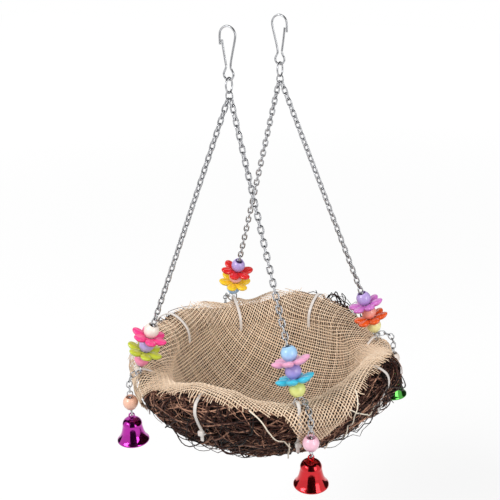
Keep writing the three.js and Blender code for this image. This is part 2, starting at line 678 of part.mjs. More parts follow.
function flower() {
  const outline = new THREE.Shape();
  const count = PETALS * PETAL_POINTS;
  for (let k = 0; k < count; k += 1) {
    const angle = 2 * Math.PI * k / count;
    const swell = Math.abs(Math.sin(angle * PETALS / 2)) ** PETAL_ROUNDNESS;
    const radius = FLOWER_WAIST + (FLOWER_RADIUS - FLOWER_WAIST) * swell;
    outline[k === 0 ? 'moveTo' : 'lineTo'](radius * Math.cos(angle), radius * Math.sin(angle));
  }
  outline.holes.push(polygon(new THREE.Path(), BORE_RADIUS, BEAD_SEGMENTS, -1));
  const body = new THREE.ExtrudeGeometry(outline, { depth: FLOWER_THICKNESS, bevelEnabled: false });
  body.translate(0, 0, -FLOWER_THICKNESS / 2);
  const position = body.attributes.position;
  for (let i = 0; i < position.count; i += 1) {
    const out = Math.hypot(position.getX(i), position.getY(i)) - FLOWER_WAIST;
    const lift = FLOWER_CUP * (Math.max(out, 0) / (FLOWER_RADIUS - FLOWER_WAIST)) ** 2;
    position.setZ(i, position.getZ(i) + lift);
  }
  return body;
}

// Bell, hung from the loop on its crown; the origin is the middle of the loop.
const BELL_CROWN = -BELL_LOOP_RADIUS - BELL_LOOP_WIRE_RADIUS + FUSE;
const BELL_MOUTH = BELL_CROWN - BELL_HEIGHT;
const CLAPPER_PIVOT = BELL_CROWN - BELL_WALL - 2 * GAP;
const CLAPPER_CENTRE = BELL_MOUTH + CLAPPER_RADIUS;

function bell() {
  const outside = BELL_PROFILE.map(([r, h]) => [r * BELL_RADIUS, BELL_CROWN - h * BELL_HEIGHT]);
  const inside = BELL_PROFILE.slice(0, -1).reverse()
    .map(([r, h]) => [r * BELL_RADIUS - BELL_WALL, BELL_CROWN - h * BELL_HEIGHT - BELL_WALL]);
  inside[0][1] = BELL_MOUTH;
  const profile = [[0, BELL_CROWN], ...outside, ...inside, [0, BELL_CROWN - BELL_WALL]].reverse();
  const loop = new THREE.TorusGeometry(BELL_LOOP_RADIUS, BELL_LOOP_WIRE_RADIUS, RING_SIDES, RING_SEGMENTS);
  return joined([turned(profile, BELL_SEGMENTS), loop.rotateX(Math.PI / 2)]);
}

function clapper() {
  const profile = [[0, CLAPPER_CENTRE - CLAPPER_RADIUS]];
  const neck = Math.asin(CLAPPER_STEM_RADIUS / CLAPPER_RADIUS);
  for (let k = 1; k <= BEAD_STEPS; k += 1) {
    const angle = -Math.PI / 2 + (Math.PI - neck) * k / BEAD_STEPS;
    profile.push([CLAPPER_RADIUS * Math.cos(angle), CLAPPER_CENTRE + CLAPPER_RADIUS * Math.sin(angle)]);
  }
  profile.push([CLAPPER_STEM_RADIUS, CLAPPER_PIVOT], [0, CLAPPER_PIVOT]);
  return turned(profile, CLAPPER_SEGMENTS);
}

// Bell drop: links hanging straight down, with the ring that carries the bell.
const BELL_RING_TOP = -(DROP_LINKS - 1) * LINK_PITCH - LINK_HALF + LINK_WIRE_RADIUS
  + BELL_RING_WIRE_RADIUS - FUSE;
const BELL_LOOP = BELL_RING_TOP - 2 * BELL_RING_RADIUS + BELL_RING_WIRE_RADIUS + GAP
  + BELL_LOOP_WIRE_RADIUS - BELL_LOOP_RADIUS;

// The bead on the drop sits on the shoulders of the bell's ring.
const BELL_RING_OUTER = BELL_RING_RADIUS + BELL_RING_WIRE_RADIUS;
const BELL_RING_SHOULDER = Math.sqrt(BELL_RING_OUTER ** 2 - BORE_RADIUS ** 2);
const DROP_BEAD = BELL_RING_TOP - BELL_RING_RADIUS + BELL_RING_SHOULDER + GAP + BEAD_LENGTH / 2;

// Middle of the drop's first link, which hangs in the last leaning link.
function dropHang(corner) {
  const tip = LINK_HALF - LINK_PITCH / 2;
  return dropTop(corner).addScaledVector(UP, 2 * LINK_WIRE_RADIUS + GAP - tip - LINK_HALF);
}

// Directions of the widths of the drop's first and second links.
function dropWidths(corner) {
  const { radial, side } = corner;
  return leanCount(corner) % 2 === 0 ? [side, radial] : [radial, side];
}

function dropChain(corner) {
  const top = dropHang(corner);
  const widths = dropWidths(corner);
  const links = [];
  for (let k = 0; k < DROP_LINKS; k += 1) {
    const centre = top.clone().addScaledVector(UP, -k * LINK_PITCH);
    links.push(linkAt(centre, UP, widths[k % 2], LINK_PITCH));
  }
  const ring = new THREE.TorusGeometry(BELL_RING_RADIUS, BELL_RING_WIRE_RADIUS, RING_SIDES, RING_SEGMENTS);
  const middle = top.clone().addScaledVector(UP, BELL_RING_TOP - BELL_RING_RADIUS);
  ring.applyMatrix4(frameAt(middle, widths[(DROP_LINKS - 1) % 2], UP));
  return joined([...links, ring]);
}


for (const [name, sign] of [['front', -1], ['back', 1]]) {
  const y = sign * HOOK_SPACING / 2;
  add(`${name}_hook`, hookWire(y, sign), STEEL);
  add(`${name}_hook_gate`, gateWire(y, sign), STEEL);
  add(`${name}_hanger`, hanger(y), STEEL);
}

let vines = solid(woundBowl());
let burlap = solid(liner());
for (const { name, curve, place } of ties) {
  const slot = tie(curve, GAP).map((piece) => solid(piece.applyMatrix4(place)));
  for (const cutter of slot) {
    vines = vines.subtract(cutter);
    burlap = burlap.subtract(cutter);
  }
  add(name, joined(tie(curve, 0)).applyMatrix4(place), NYLON);
}
add('vine_bowl', geometryOf(vines), VINE);
add('burlap_liner', geometryOf(burlap), BURLAP);

for (const corner of corners) {
  const { stack, dropBead, bell: bellColour } = PALETTE[corner.name];
  add(`${corner.name}_chain`, slingChain(corner), STEEL);
  add(`${corner.name}_rim_ring`, rimRing(corner), STEEL);
  const up = corner.axis.clone().negate();
  let height = STACK_LIFT;
  for (let k = STACK.length - 1; k >= 0; k -= 1) {
    const blossom = STACK[k].endsWith('flower');
    const length = blossom ? FLOWER_THICKNESS : BEAD_LENGTH;
    const centre = corner.end.clone().addScaledVector(up, height + length / 2);
    const shape = (blossom ? flower() : bead()).applyMatrix4(frameAt(centre, up, corner.side));
    add(`${corner.name}_${STACK[k]}`, shape, [stack[k], ...GLOSS_PLASTIC]);
    height += length + GAP;
  }
  const hang = dropHang(corner);
  add(`${corner.name}_drop_chain`, dropChain(corner), STEEL);
  const width = dropWidths(corner)[(DROP_LINKS - 1) % 2];
  const threaded = frameAt(hang.clone().addScaledVector(UP, DROP_BEAD), UP, width);
  add(`${corner.name}_drop_bead`, bead().applyMatrix4(threaded), [dropBead, ...GLOSS_PLASTIC]);
  const loop = frameAt(hang.clone().addScaledVector(UP, BELL_LOOP), UP, width);
  add(`${corner.name}_bell`, bell().applyMatrix4(loop), [bellColour, ...METAL_LACQUER]);
  add(`${corner.name}_clapper`, clapper().applyMatrix4(loop), STEEL);
}

export default group;
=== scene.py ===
"""Looks of a hanging bird nest: a dark vine bowl lined with burlap, slung on four steel chains from two
wire snap hooks, with bead and flower stacks on the chains and a lacquered bell at each corner.

Sizes are in millimetres, as in the solid model, and become metres when a mesh is made. The frame is that
of the solid model: +Z up, the bar that carries the hooks along Y, the origin on the bar between the hooks.
"""

import logging
import math
from dataclasses import dataclass, field
from enum import Enum

import bpy
import numpy as np
from mathutils import Matrix, Vector


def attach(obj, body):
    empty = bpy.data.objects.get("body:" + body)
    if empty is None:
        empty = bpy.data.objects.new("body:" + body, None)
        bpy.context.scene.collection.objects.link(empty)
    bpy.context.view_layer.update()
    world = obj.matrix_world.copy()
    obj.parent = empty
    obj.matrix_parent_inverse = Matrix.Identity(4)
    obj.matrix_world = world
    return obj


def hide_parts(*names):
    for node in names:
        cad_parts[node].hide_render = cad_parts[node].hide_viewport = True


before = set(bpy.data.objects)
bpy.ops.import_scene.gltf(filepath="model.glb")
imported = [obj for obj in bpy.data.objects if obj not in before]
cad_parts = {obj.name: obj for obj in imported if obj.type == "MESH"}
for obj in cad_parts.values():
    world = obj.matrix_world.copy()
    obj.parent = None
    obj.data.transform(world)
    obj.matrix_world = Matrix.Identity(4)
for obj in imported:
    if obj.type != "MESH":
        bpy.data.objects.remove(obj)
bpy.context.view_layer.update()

LOG = logging.getLogger("nest")
MM = 0.001
UP = np.array((0.0, 0.0, 1.0))
ALONG = np.array((0.0, 1.0, 0.0))
GAP = 0.3                # between pieces that bear on each other
FUSE = 0.2               # depth to which wires of one piece sink into each other
TONE = "tone"            # point attribute: light or dark strand
THICK = "thick"          # point attribute: half the thickness of a strand, in metres
OUTWARD = "outward"      # point attribute: direction that a strand is pressed flat along
EVEN_TONE = 0.5          # tone of a wire, whose finish has no lights and darks
NOISE_SPAN = (0.3, 0.7)  # values that most of a noise lies between
BEND_STEPS = 48          # points of the bend that links lie along
LINK_ROUNDING = 4        # points on each rounded corner of a link
LINK_SIDES = 6           # sides of a link's wire

Points = np.ndarray
Piece = bpy.types.Object
Tree = bpy.types.NodeTree
Socket = bpy.types.NodeSocket


class End(Enum):
    """The two hooks, with the side of the bar each one is on."""

    FRONT = -1
    BACK = 1

    @property
    def word(self) -> str:
        """Name of the hook's end as used in the names of pieces."""
        return self.name.lower()


# Small helpers


def linear(hex_colour: str) -> tuple[float, float, float, float]:
    """Turns an sRGB hex colour into linear light.

    Args:
        hex_colour: Six hex digits after a hash.

    Returns:
        Red, green, blue and alpha.
    """
    parts = [int(hex_colour[k:k + 2], 16) / 255 for k in (1, 3, 5)]
    red, green, blue = [c / 12.92 if c <= 0.04045 else ((c + 0.055) / 1.055) ** 2.4 for c in parts]
    return (red, green, blue, 1.0)


def add_node(tree: Tree, kind: str, inputs: dict | None = None, **settings) -> bpy.types.Node:
    """Adds a node with its settings, values and links.

    Args:
        tree: Tree that gets the node.
        kind: Type name of the node.
        inputs: Value, or output socket to link from, for each input by name or number.
        **settings: Properties of the node.

    Returns:
        The new node.
    """
    node = tree.nodes.new(kind)
    for key, value in settings.items():
        setattr(node, key, value)
    for key, value in (inputs or {}).items():
        if isinstance(value, Socket):
            tree.links.new(value, node.inputs[key])
        else:
            node.inputs[key].default_value = value
    return node


def maths(tree: Tree, operation: str, first: Socket | float, second: Socket | float, **settings) -> Socket:
    """Works out a sum in a tree.

    Args:
        tree: Tree that gets the node.
        operation: What to do with the two values.
        first: First value.
        second: Second value.
        **settings: Other properties of the node.

    Returns:
        The result.
    """
    node = add_node(tree, "ShaderNodeMath", {0: first, 1: second}, operation=operation, **settings)
    return node.outputs[0]


def unit(vector: Points) -> Points:
    """The vector at length one."""
    return vector / np.linalg.norm(vector)


def square_to(direction: Points, axis: Points) -> Points:
    """The part of a direction that lies square to an axis, at length one."""
    return unit(direction - axis * direction.dot(axis))


def evenly(line: Points, count: int) -> Points:
    """Puts points at even steps along a line.

    Args:
        line: Points of the line.
        count: How many points to return.

    Returns:
        The evenly spaced points.
    """
    run = np.concatenate(([0.0], np.cumsum(np.linalg.norm(np.diff(line, axis=0), axis=1))))
    at = np.linspace(0, run[-1], count)
    return np.column_stack([np.interp(at, run, line[:, k]) for k in range(line.shape[1])])


def smooth_through(points: Points, count: int) -> Points:
    """A smooth curve through points, as a bent wire takes.

    Args:
        points: Points that the curve passes.
        count: How many points to return.

    Returns:
        Evenly spaced points on the curve.
    """
    p = np.vstack((2 * points[0] - points[1], points, 2 * points[-1] - points[-2]))
    fine = []
    for k in range(1, len(p) - 2):
        p0, p1, p2, p3 = p[k - 1:k + 3]
        t0 = 0.0
        t1 = t0 + math.sqrt(np.linalg.norm(p1 - p0))
        t2 = t1 + math.sqrt(np.linalg.norm(p2 - p1))
        t3 = t2 + math.sqrt(np.linalg.norm(p3 - p2))
        t = np.linspace(t1, t2, 24)[:, None]
        a1 = ((t1 - t) * p0 + (t - t0) * p1) / (t1 - t0)
        a2 = ((t2 - t) * p1 + (t - t1) * p2) / (t2 - t1)
        a3 = ((t3 - t) * p2 + (t - t2) * p3) / (t3 - t2)
        b1 = ((t2 - t) * a1 + (t - t0) * a2) / (t2 - t0)
        b2 = ((t3 - t) * a2 + (t - t1) * a3) / (t3 - t1)
        fine.append(((t2 - t) * b1 + (t - t1) * b2) / (t2 - t1))
    return evenly(np.vstack(fine), count)


def oval(across: float, along: float, steps: int) -> Points:
    """Points round an oval in the XY plane.

    Args:
        across: Half its size along X.
        along: Half its size along Y.
        steps: How many points.

    Returns:
        The points, from its +X end on.
    """
    turn = np.linspace(0, 2 * math.pi, steps, endpoint=False)
    return np.column_stack((across * np.cos(turn), along * np.sin(turn), np.zeros(steps)))


def frame_at(origin: Points, axis: Points, side: Points) -> Points:
    """A place with its Z along an axis and its X as near a side as it can be.

    Args:
        origin: Where the place is.
        axis: Direction of its Z.
        side: Direction that its X leans to.

    Returns:
        A 4 by 4 matrix.
    """
    x = square_to(side, axis)
    place = np.eye(4)
    place[:3, 0], place[:3, 1], place[:3, 2], place[:3, 3] = x, np.cross(axis, x), axis, origin
    return place


def moved(points: Points, place: Points) -> Points:
    """The points, carried to a place."""
    return points @ place[:3, :3].T + place[:3, 3]


def noise_along(rng: np.random.Generator, rows: int, steps: int, knots: int) -> Points:
    """Smooth random waves between about -1 and 1.

    Args:
        rng: Source of the random numbers.
        rows: How many waves.
        steps: Points in each wave.
        knots: Turning points in each wave.

    Returns:
        One row of values for each wave.
    """
    values = rng.normal(0, 0.55, (rows, knots + 3))
    at = np.linspace(0, knots, steps, endpoint=False)
    k = at.astype(int)
    f = at - k
    weights = ((1 - f) ** 3 / 6, (3 * f ** 3 - 6 * f ** 2 + 4) / 6,
               (-3 * f ** 3 + 3 * f ** 2 + 3 * f + 1) / 6, f ** 3 / 6)
    return sum(w * values[:, k + n] for n, w in enumerate(weights)) * 1.5


# Finishes


def speckle(tree: Tree, grain: float, detail: float, roughness: float = 0.5) -> Socket:
    """A noise that stays fixed to its piece.

    Args:
        tree: Tree of the material.
        grain: Size of its grains, in millimetres.
        detail: How many finer layers it has.
        roughness: Weight of each finer layer for the one before.

    Returns:
        Its value, from 0 to 1.
    """
    where = add_node(tree, "ShaderNodeTexCoord")
    noise = add_node(tree, "ShaderNodeTexNoise", {
        "Vector": where.outputs["Object"], "Scale": 1 / (grain * MM), "Detail": detail,
        "Roughness": roughness})
    return noise.outputs["Fac"]


def ranged(tree: Tree, value: Socket, low: float, high: float,
           span: tuple[float, float] = (0.0, 1.0)) -> Socket:
    """Maps a value onto a range.

    Args:
        tree: Tree of the material.
        value: Value to map.
        low: Result at the lower end.
        high: Result at the upper end.
        span: Values at the two ends.

    Returns:
        The result.
    """
    mapped = add_node(tree, "ShaderNodeMapRange", {
        "Value": value, "From Min": span[0], "From Max": span[1], "To Min": low, "To Max": high})
    return mapped.outputs["Result"]


def relief(tree: Tree, height: Socket, strength: float, depth: float) -> Socket:
    """A fine relief of the surface.

    Args:
        tree: Tree of the material.
        height: Height at each place, from 0 to 1.
        strength: How much of it shows.
        depth: Depth of the relief, in millimetres.

    Returns:
        The direction that the surface faces.
    """
    bump = add_node(tree, "ShaderNodeBump", {"Height": height, "Strength": strength, "Distance": depth * MM})
    return bump.outputs["Normal"]


@dataclass(frozen=True)
class Finish:
    """A material: what it is made of and the record's slot it belongs to."""

    name: str
    slot: str

    def material(self) -> bpy.types.Material:
        """Makes the material at its first use.

        Returns:
            The material.
        """
        made = bpy.data.materials.get(self.name)
        if made is None:
            made = bpy.data.materials.new(self.name)
            made.use_nodes = True
            tree = made.node_tree
            tree.nodes.clear()
            shader = add_node(tree, "ShaderNodeBsdfPrincipled", self.shade(tree))
            add_node(tree, "ShaderNodeOutputMaterial", {"Surface": shader.outputs[0]})
        return made

    def shade(self, tree: Tree) -> dict:
        """Value or socket for each input of the shader."""
        raise NotImplementedError


@dataclass(frozen=True)
class PlatedWire(Finish):
    """Drawn steel wire, bright nickel plated: mirror-like, with faint streaks that soften the gloss.

    `roughness` gives its least and greatest values.
    """

    colour: str = "#bcbdc0"
    streak_mm: float = 0.6
    roughness: tuple[float, float] = (0.1, 0.3)

    def shade(self, tree: Tree) -> dict:
        """Metal with a cloudy gloss.

        Args:
            tree: Tree of the material.

        Returns:
            Value or socket for each input of the shader.
        """
        gloss = ranged(tree, speckle(tree, self.streak_mm, 3.0), *self.roughness)
        return {"Base Color": linear(self.colour), "Metallic": 1.0, "Roughness": gloss}


@dataclass(frozen=True)
class StrandFinish(Finish):
    """Anything wound or woven of strands, each lighter or darker by its own tone.

    `fleck_depth` is how far the flecks shift the tone, and `bump_mm` is the size and depth of the fibres.
    """

    dark: str
    middle: str
    light: str
    fleck_mm: float
    fleck_depth: float
    bump_mm: float
    roughness: float
    sheen: float = 0.0
    fleck_roughness: float = 0.65
    fibre_strength: float = 0.55
    sheen_roughness: float = 0.6
    specular: float = 0.25

    def shade(self, tree: Tree) -> dict:
        """A colour from the strand's tone, flecked, with a fibrous relief.

        Args:
            tree: Tree of the material.

        Returns:
            Value or socket for each input of the shader.
        """
        tone = add_node(tree, "ShaderNodeAttribute", attribute_name=TONE)
        flecks = speckle(tree, self.fleck_mm, 5.0, self.fleck_roughness)
        shift = ranged(tree, flecks, -self.fleck_depth, self.fleck_depth, NOISE_SPAN)
        mixed = maths(tree, "ADD", tone.outputs["Fac"], shift, use_clamp=True)
        ramp = add_node(tree, "ShaderNodeValToRGB", {"Fac": mixed})
        ramp.color_ramp.elements[0].color = linear(self.dark)
        ramp.color_ramp.elements[1].color = linear(self.light)
        ramp.color_ramp.elements.new(0.5).color = linear(self.middle)
        fibres = relief(tree, speckle(tree, self.bump_mm, 4.0), self.fibre_strength, self.bump_mm)
        return {"Base Color": ramp.outputs["Color"], "Roughness": self.roughness, "Normal": fibres,
                "Sheen Weight": self.sheen, "Sheen Roughness": self.sheen_roughness,
                "Specular IOR Level": self.specular}


@dataclass(frozen=True)
class MouldedPlastic(Finish):
    """Injection-moulded plastic: even colour with a slight cloud, a smooth gloss and faint sink marks."""

    colour: str
    cloud: float = 0.06
    cloud_mm: float = 4.0
    roughness: float = 0.22
    coat: float = 0.35
    coat_roughness: float = 0.08
    refraction: float = 1.49
    sink_mm: float = 0.4
    sink_strength: float = 0.08

    def shade(self, tree: Tree) -> dict:
        """A glossy plastic with a little depth.

        Args:
            tree: Tree of the material.

        Returns:
            Value or socket for each input of the shader.
        """
        clouds = speckle(tree, self.cloud_mm, 2.0)
        amount = ranged(tree, clouds, 1 - self.cloud, 1 + self.cloud, NOISE_SPAN)
        tint = add_node(tree, "ShaderNodeHueSaturation", {"Color": linear(self.colour), "Value": amount})
        sinks = relief(tree, clouds, self.sink_strength, self.sink_mm)
        return {"Base Color": tint.outputs["Color"], "Roughness": self.roughness, "Coat Weight": self.coat,
                "Coat Roughness": self.coat_roughness, "IOR": self.refraction, "Normal": sinks}


@dataclass(frozen=True)
class LacqueredSteel(Finish):
    """Thin pressed steel under tinted clear lacquer: a sharp coloured mirror with a fine orange peel.

    `roughness` gives its least and greatest values.
    """

    colour: str
    peel_mm: float = 1.6
    peel_depth_mm: float = 0.2
    peel_strength: float = 0.05
    roughness: tuple[float, float] = (0.06, 0.16)
    coat: float = 0.25
    coat_roughness: float = 0.04

    def shade(self, tree: Tree) -> dict:
        """A coloured mirror under a clear coat.

        Args:
            tree: Tree of the material.

        Returns:
            Value or socket for each input of the shader.
        """
        peel = speckle(tree, self.peel_mm, 2.0)
        gloss = ranged(tree, peel, *self.roughness)
        bumps = relief(tree, peel, self.peel_strength, self.peel_depth_mm)
        return {"Base Color": linear(self.colour), "Metallic": 1.0, "Roughness": gloss, "Normal": bumps,
                "Coat Weight": self.coat, "Coat Roughness": self.coat_roughness}


# Bright wire; vines from near black to pale brown, over a heart painted near black as the shade between them;
# yarns from tan to cream, with painted shade where a yarn goes under another and a painted highlight where it
# lies on top, and bleached loose ones; and milky ties.
STEEL = PlatedWire("plated_steel_wire", "steel_wire")
BARK = StrandFinish("vine_bark", "vine", "#070302", "#44221a", "#c4947a", 1.8, 0.22, 0.7, 0.55)
# painted shade: the heart under the vines is coloured near black so that the gaps between them look deep
PAINTED_SHADE_HEART = StrandFinish("vine_shadow", "vine", "#0b0705", "#1d130d", "#33231a", 2.5, 0.3, 1.2, 0.9)
JUTE = StrandFinish("jute_yarn", "burlap", "#78563f", "#e6c6a4", "#fae5cc", 0.9, 0.16, 0.35, 0.9, 0.25)
CREAM = StrandFinish("bleached_yarn", "burlap", "#c9b79a", "#e9dcc6", "#f6eee0", 0.9, 0.12, 0.35, 0.9, 0.2)
NYLON = MouldedPlastic("natural_nylon", "nylon", "#d8d1cb", 0.04, 3.0, 0.34, 0.1)


# Node trees that sweep strands and set links


def sockets(tree: Tree, inputs: dict[str, str]) -> bpy.types.Node:
    """Gives a tree its named inputs and its geometry output.

    Args:
        tree: Tree to set up.
        inputs: Socket type for each input name.

    Returns:
        The tree's input node.
    """
    for name, kind in inputs.items():
        tree.interface.new_socket(name, in_out="INPUT", socket_type=kind)
    tree.interface.new_socket("Geometry", in_out="OUTPUT", socket_type="NodeSocketGeometry")
    return add_node(tree, "NodeGroupInput")


def clad(tree: Tree, geometry: Socket, material: Socket) -> None:
    """Ends a tree with one smooth mesh in its material.

    Args:
        tree: Tree to end.
        geometry: What the tree has made.
        material: Material for it.
    """
    real = add_node(tree, "GeometryNodeRealizeInstances", {"Geometry": geometry})
    smooth = add_node(tree, "GeometryNodeSetShadeSmooth", {"Geometry": real.outputs["Geometry"]})
    dressed = add_node(tree, "GeometryNodeSetMaterial", {
        "Geometry": smooth.outputs["Geometry"], "Material": material})
    add_node(tree, "NodeGroupOutput", {"Geometry": dressed.outputs["Geometry"]})


def strand_tree(pressed: bool) -> Tree:
    """Tree that turns lines of points into strands.

    Args:
        pressed: Whether the strands are pressed flat against a surface, as yarns are in cloth.

    Returns:
        The tree, made at its first use.
    """
    name = "pressed_strands" if pressed else "strands"
    tree = bpy.data.node_groups.get(name)
    if tree is not None:
        return tree
    tree = bpy.data.node_groups.new(name, "GeometryNodeTree")
    given = sockets(tree, {"Geometry": "NodeSocketGeometry", "Sides": "NodeSocketInt",
                           "Section": "NodeSocketVector", "Material": "NodeSocketMaterial"})
    line = add_node(tree, "GeometryNodeMeshToCurve", {"Mesh": given.outputs["Geometry"]})
    thick = add_node(tree, "GeometryNodeInputNamedAttribute", {"Name": THICK}, data_type="FLOAT")
    section = add_node(tree, "GeometryNodeCurvePrimitiveCircle", {
        "Resolution": given.outputs["Sides"], "Radius": 1.0})
    if pressed:
        outward = add_node(tree, "GeometryNodeInputNamedAttribute", {"Name": OUTWARD},
                           data_type="FLOAT_VECTOR")
        line = add_node(tree, "GeometryNodeSetCurveNormal", {
            "Curve": line.outputs["Curve"], "Normal": outward.outputs["Attribute"]}, mode="FREE")
        section = add_node(tree, "GeometryNodeTransform", {
            "Geometry": section.outputs["Curve"], "Scale": given.outputs["Section"]})
    strand = add_node(tree, "GeometryNodeCurveToMesh", {
        "Curve": line.outputs["Curve"], "Profile Curve": section.outputs[0],
        "Scale": thick.outputs["Attribute"], "Fill Caps": True})
    clad(tree, strand.outputs["Mesh"], given.outputs["Material"])
    return tree


def link_tree() -> Tree:
    """Tree that sets chain links along a bend, each turned on from the last by the same step.

    Returns:
        The tree, made at its first use.
    """
    tree = bpy.data.node_groups.get("links")
    if tree is not None:
        return tree
    tree = bpy.data.node_groups.new("links", "GeometryNodeTree")
    given = sockets(tree, {
        "Geometry": "NodeSocketGeometry", "Start": "NodeSocketVector", "Middle": "NodeSocketVector",
        "End": "NodeSocketVector", "Count": "NodeSocketInt", "Side": "NodeSocketVector",
        "Twist Step": "NodeSocketFloat", "Link Length": "NodeSocketFloat", "Link Width": "NodeSocketFloat",
        "Wire Radius": "NodeSocketFloat", "Material": "NodeSocketMaterial"}).outputs
    bend = add_node(tree, "GeometryNodeCurveQuadraticBezier", {
        "Resolution": BEND_STEPS, "Start": given["Start"], "Middle": given["Middle"], "End": given["End"]})
    half = maths(tree, "DIVIDE", 0.5, given["Count"])
    trimmed = add_node(tree, "GeometryNodeTrimCurve", {
        "Curve": bend.outputs["Curve"], 2: half, 3: maths(tree, "SUBTRACT", 1.0, half)}, mode="FACTOR")
    middles = add_node(tree, "GeometryNodeResampleCurve", {
        "Curve": trimmed.outputs["Curve"], "Count": given["Count"]}, mode="COUNT")
    tangent = add_node(tree, "GeometryNodeInputTangent")
    lengthwise = add_node(tree, "FunctionNodeAlignRotationToVector", {
        "Vector": tangent.outputs["Tangent"]}, axis="Z")
    sideways = add_node(tree, "FunctionNodeAlignRotationToVector", {
        "Rotation": lengthwise.outputs["Rotation"], "Vector": given["Side"]}, axis="X", pivot_axis="Z")
    index = add_node(tree, "GeometryNodeInputIndex")
    angle = maths(tree, "MULTIPLY", index.outputs["Index"], given["Twist Step"])
    turn = add_node(tree, "FunctionNodeAxisAngleToRotation", {"Axis": (0.0, 0.0, 1.0), "Angle": angle})
    turned = add_node(tree, "FunctionNodeRotateRotation", {
        "Rotation": sideways.outputs["Rotation"], "Rotate By": turn.outputs["Rotation"]},
        rotation_space="LOCAL")
    wires = maths(tree, "MULTIPLY", given["Wire Radius"], 2.0)
    across = maths(tree, "SUBTRACT", given["Link Width"], wires)
    outline = add_node(tree, "GeometryNodeCurvePrimitiveQuadrilateral", {
        "Width": across, "Height": maths(tree, "SUBTRACT", given["Link Length"], wires)}, mode="RECTANGLE")
    rounded = add_node(tree, "GeometryNodeFilletCurve", {
        "Curve": outline.outputs["Curve"], "Count": LINK_ROUNDING, "Radius": across, "Limit Radius": True},
        mode="POLY")
    section = add_node(tree, "GeometryNodeCurvePrimitiveCircle", {
        "Resolution": LINK_SIDES, "Radius": given["Wire Radius"]})
    wire = add_node(tree, "GeometryNodeCurveToMesh", {
        "Curve": rounded.outputs["Curve"], "Profile Curve": section.outputs["Curve"]})
    upright = add_node(tree, "GeometryNodeTransform", {
        "Geometry": wire.outputs["Mesh"], "Rotation": (math.pi / 2, 0.0, 0.0)})
    placed = add_node(tree, "GeometryNodeInstanceOnPoints", {
        "Points": middles.outputs["Curve"], "Instance": upright.outputs["Geometry"],
        "Rotation": turned.outputs["Rotation"]})
    clad(tree, placed.outputs["Instances"], given["Material"])
    return tree


def settled(piece: Piece) -> Piece:
    """Makes what an object's modifiers give its plain mesh.

    Args:
        piece: Object with modifiers.

    Returns:
        The same object with its new mesh and no modifiers.
    """
    graph = bpy.context.evaluated_depsgraph_get()
    mesh = bpy.data.meshes.new_from_object(piece.evaluated_get(graph))
    piece.modifiers.clear()
    old = piece.data
    piece.data = mesh
    bpy.data.meshes.remove(old)
    mesh.name = piece.name
    return piece


def grown(piece: Piece, tree: Tree, values: dict) -> Piece:
    """Runs a node tree on an object and keeps the result as its plain mesh.

    Args:
        piece: Object that the tree works on.
        tree: Node tree.
        values: Value for each of the tree's named inputs.

    Returns:
        The same object with its new mesh.
    """
    modifier = piece.modifiers.new(tree.name, "NODES")
    modifier.node_group = tree
    for item in tree.interface.items_tree:
        if item.in_out == "INPUT" and item.name in values:
            modifier[item.identifier] = values[item.name]
    return settled(piece)


def new_object(name: str, mesh: bpy.types.Mesh) -> Piece:
    """Links a new object into the scene.

    Args:
        name: Name of the object.
        mesh: Its mesh.

    Returns:
        The object.
    """
    piece = bpy.data.objects.new(name, mesh)
    bpy.context.scene.collection.objects.link(piece)
    return piece


def strands(name: str, lines: list[Points], thick: list, tones: list, finish: Finish, sides: int = 6,
            closed: bool = False, outward: list[Points] | None = None, flatness: float = 1.0) -> Piece:
    """Strands, wires or yarns along lines.

    Args:
        name: Name of the piece.
        lines: Points of each strand, in millimetres.
        thick: Half thickness of each strand, a number or one for each point.
        tones: Tone of each strand, a number or one for each point.
        finish: Material.
        sides: Sides of the strand's section.
        closed: Whether each line runs back to its start.
        outward: Direction at each point of each strand that it is pressed flat along, if it is.
        flatness: Height of a pressed strand for its width.

    Returns:
        The new object.
    """
    counts = [len(line) for line in lines]
    starts = np.concatenate(([0], np.cumsum(counts)[:-1]))
    edges = []
    for first, count in zip(starts, counts):
        row = np.arange(first, first + count)
        edges.append(np.column_stack((row, np.roll(row, -1)))[:None if closed else -1])
    edges = np.vstack(edges)
    points = np.vstack(lines) * MM
    mesh = bpy.data.meshes.new(name)
    mesh.vertices.add(len(points))
    mesh.edges.add(len(edges))
    mesh.vertices.foreach_set("co", points.astype(np.float32).ravel())
    mesh.edges.foreach_set("vertices", edges.astype(np.int32).ravel())
    for key, values, scale in ((THICK, thick, MM), (TONE, tones, 1.0)):
        spread = np.concatenate([np.broadcast_to(v, n) for v, n in zip(values, counts)]) * scale
        mesh.attributes.new(key, "FLOAT", "POINT").data.foreach_set("value", spread.astype(np.float32))
    if outward is not None:
        directions = mesh.attributes.new(OUTWARD, "FLOAT_VECTOR", "POINT").data
        directions.foreach_set("vector", np.vstack(outward).astype(np.float32).ravel())
    return grown(new_object(name, mesh), strand_tree(outward is not None), {
        "Sides": sides, "Section": (flatness, 1.0, 1.0), "Material": finish.material()})


def links(name: str, bend: tuple[Points, Points, Points], count: int, side: Points, twist_step: float,
          length: float, width: float, wire: float, finish: Finish) -> Piece:
    """A run of chain links.

    Args:
        name: Name of the piece.
        bend: Start, control point and end of the run.
        count: How many links.
        side: Direction of the first link's width.
        twist_step: Turn from one link to the next, in radians.
        length: Length of a link outside.
        width: Width of a link outside.
        wire: Half thickness of the wire.
        finish: Material.

    Returns:
        The new object.
    """
    piece = new_object(name, bpy.data.meshes.new(name))
    start, middle, end = [tuple(float(c) for c in point * MM) for point in bend]
    return grown(piece, link_tree(), {
        "Start": start, "Middle": middle, "End": end, "Count": count,
        "Side": tuple(float(c) for c in side), "Twist Step": float(twist_step),
        "Link Length": length * MM, "Link Width": width * MM, "Wire Radius": wire * MM,
        "Material": finish.material()})


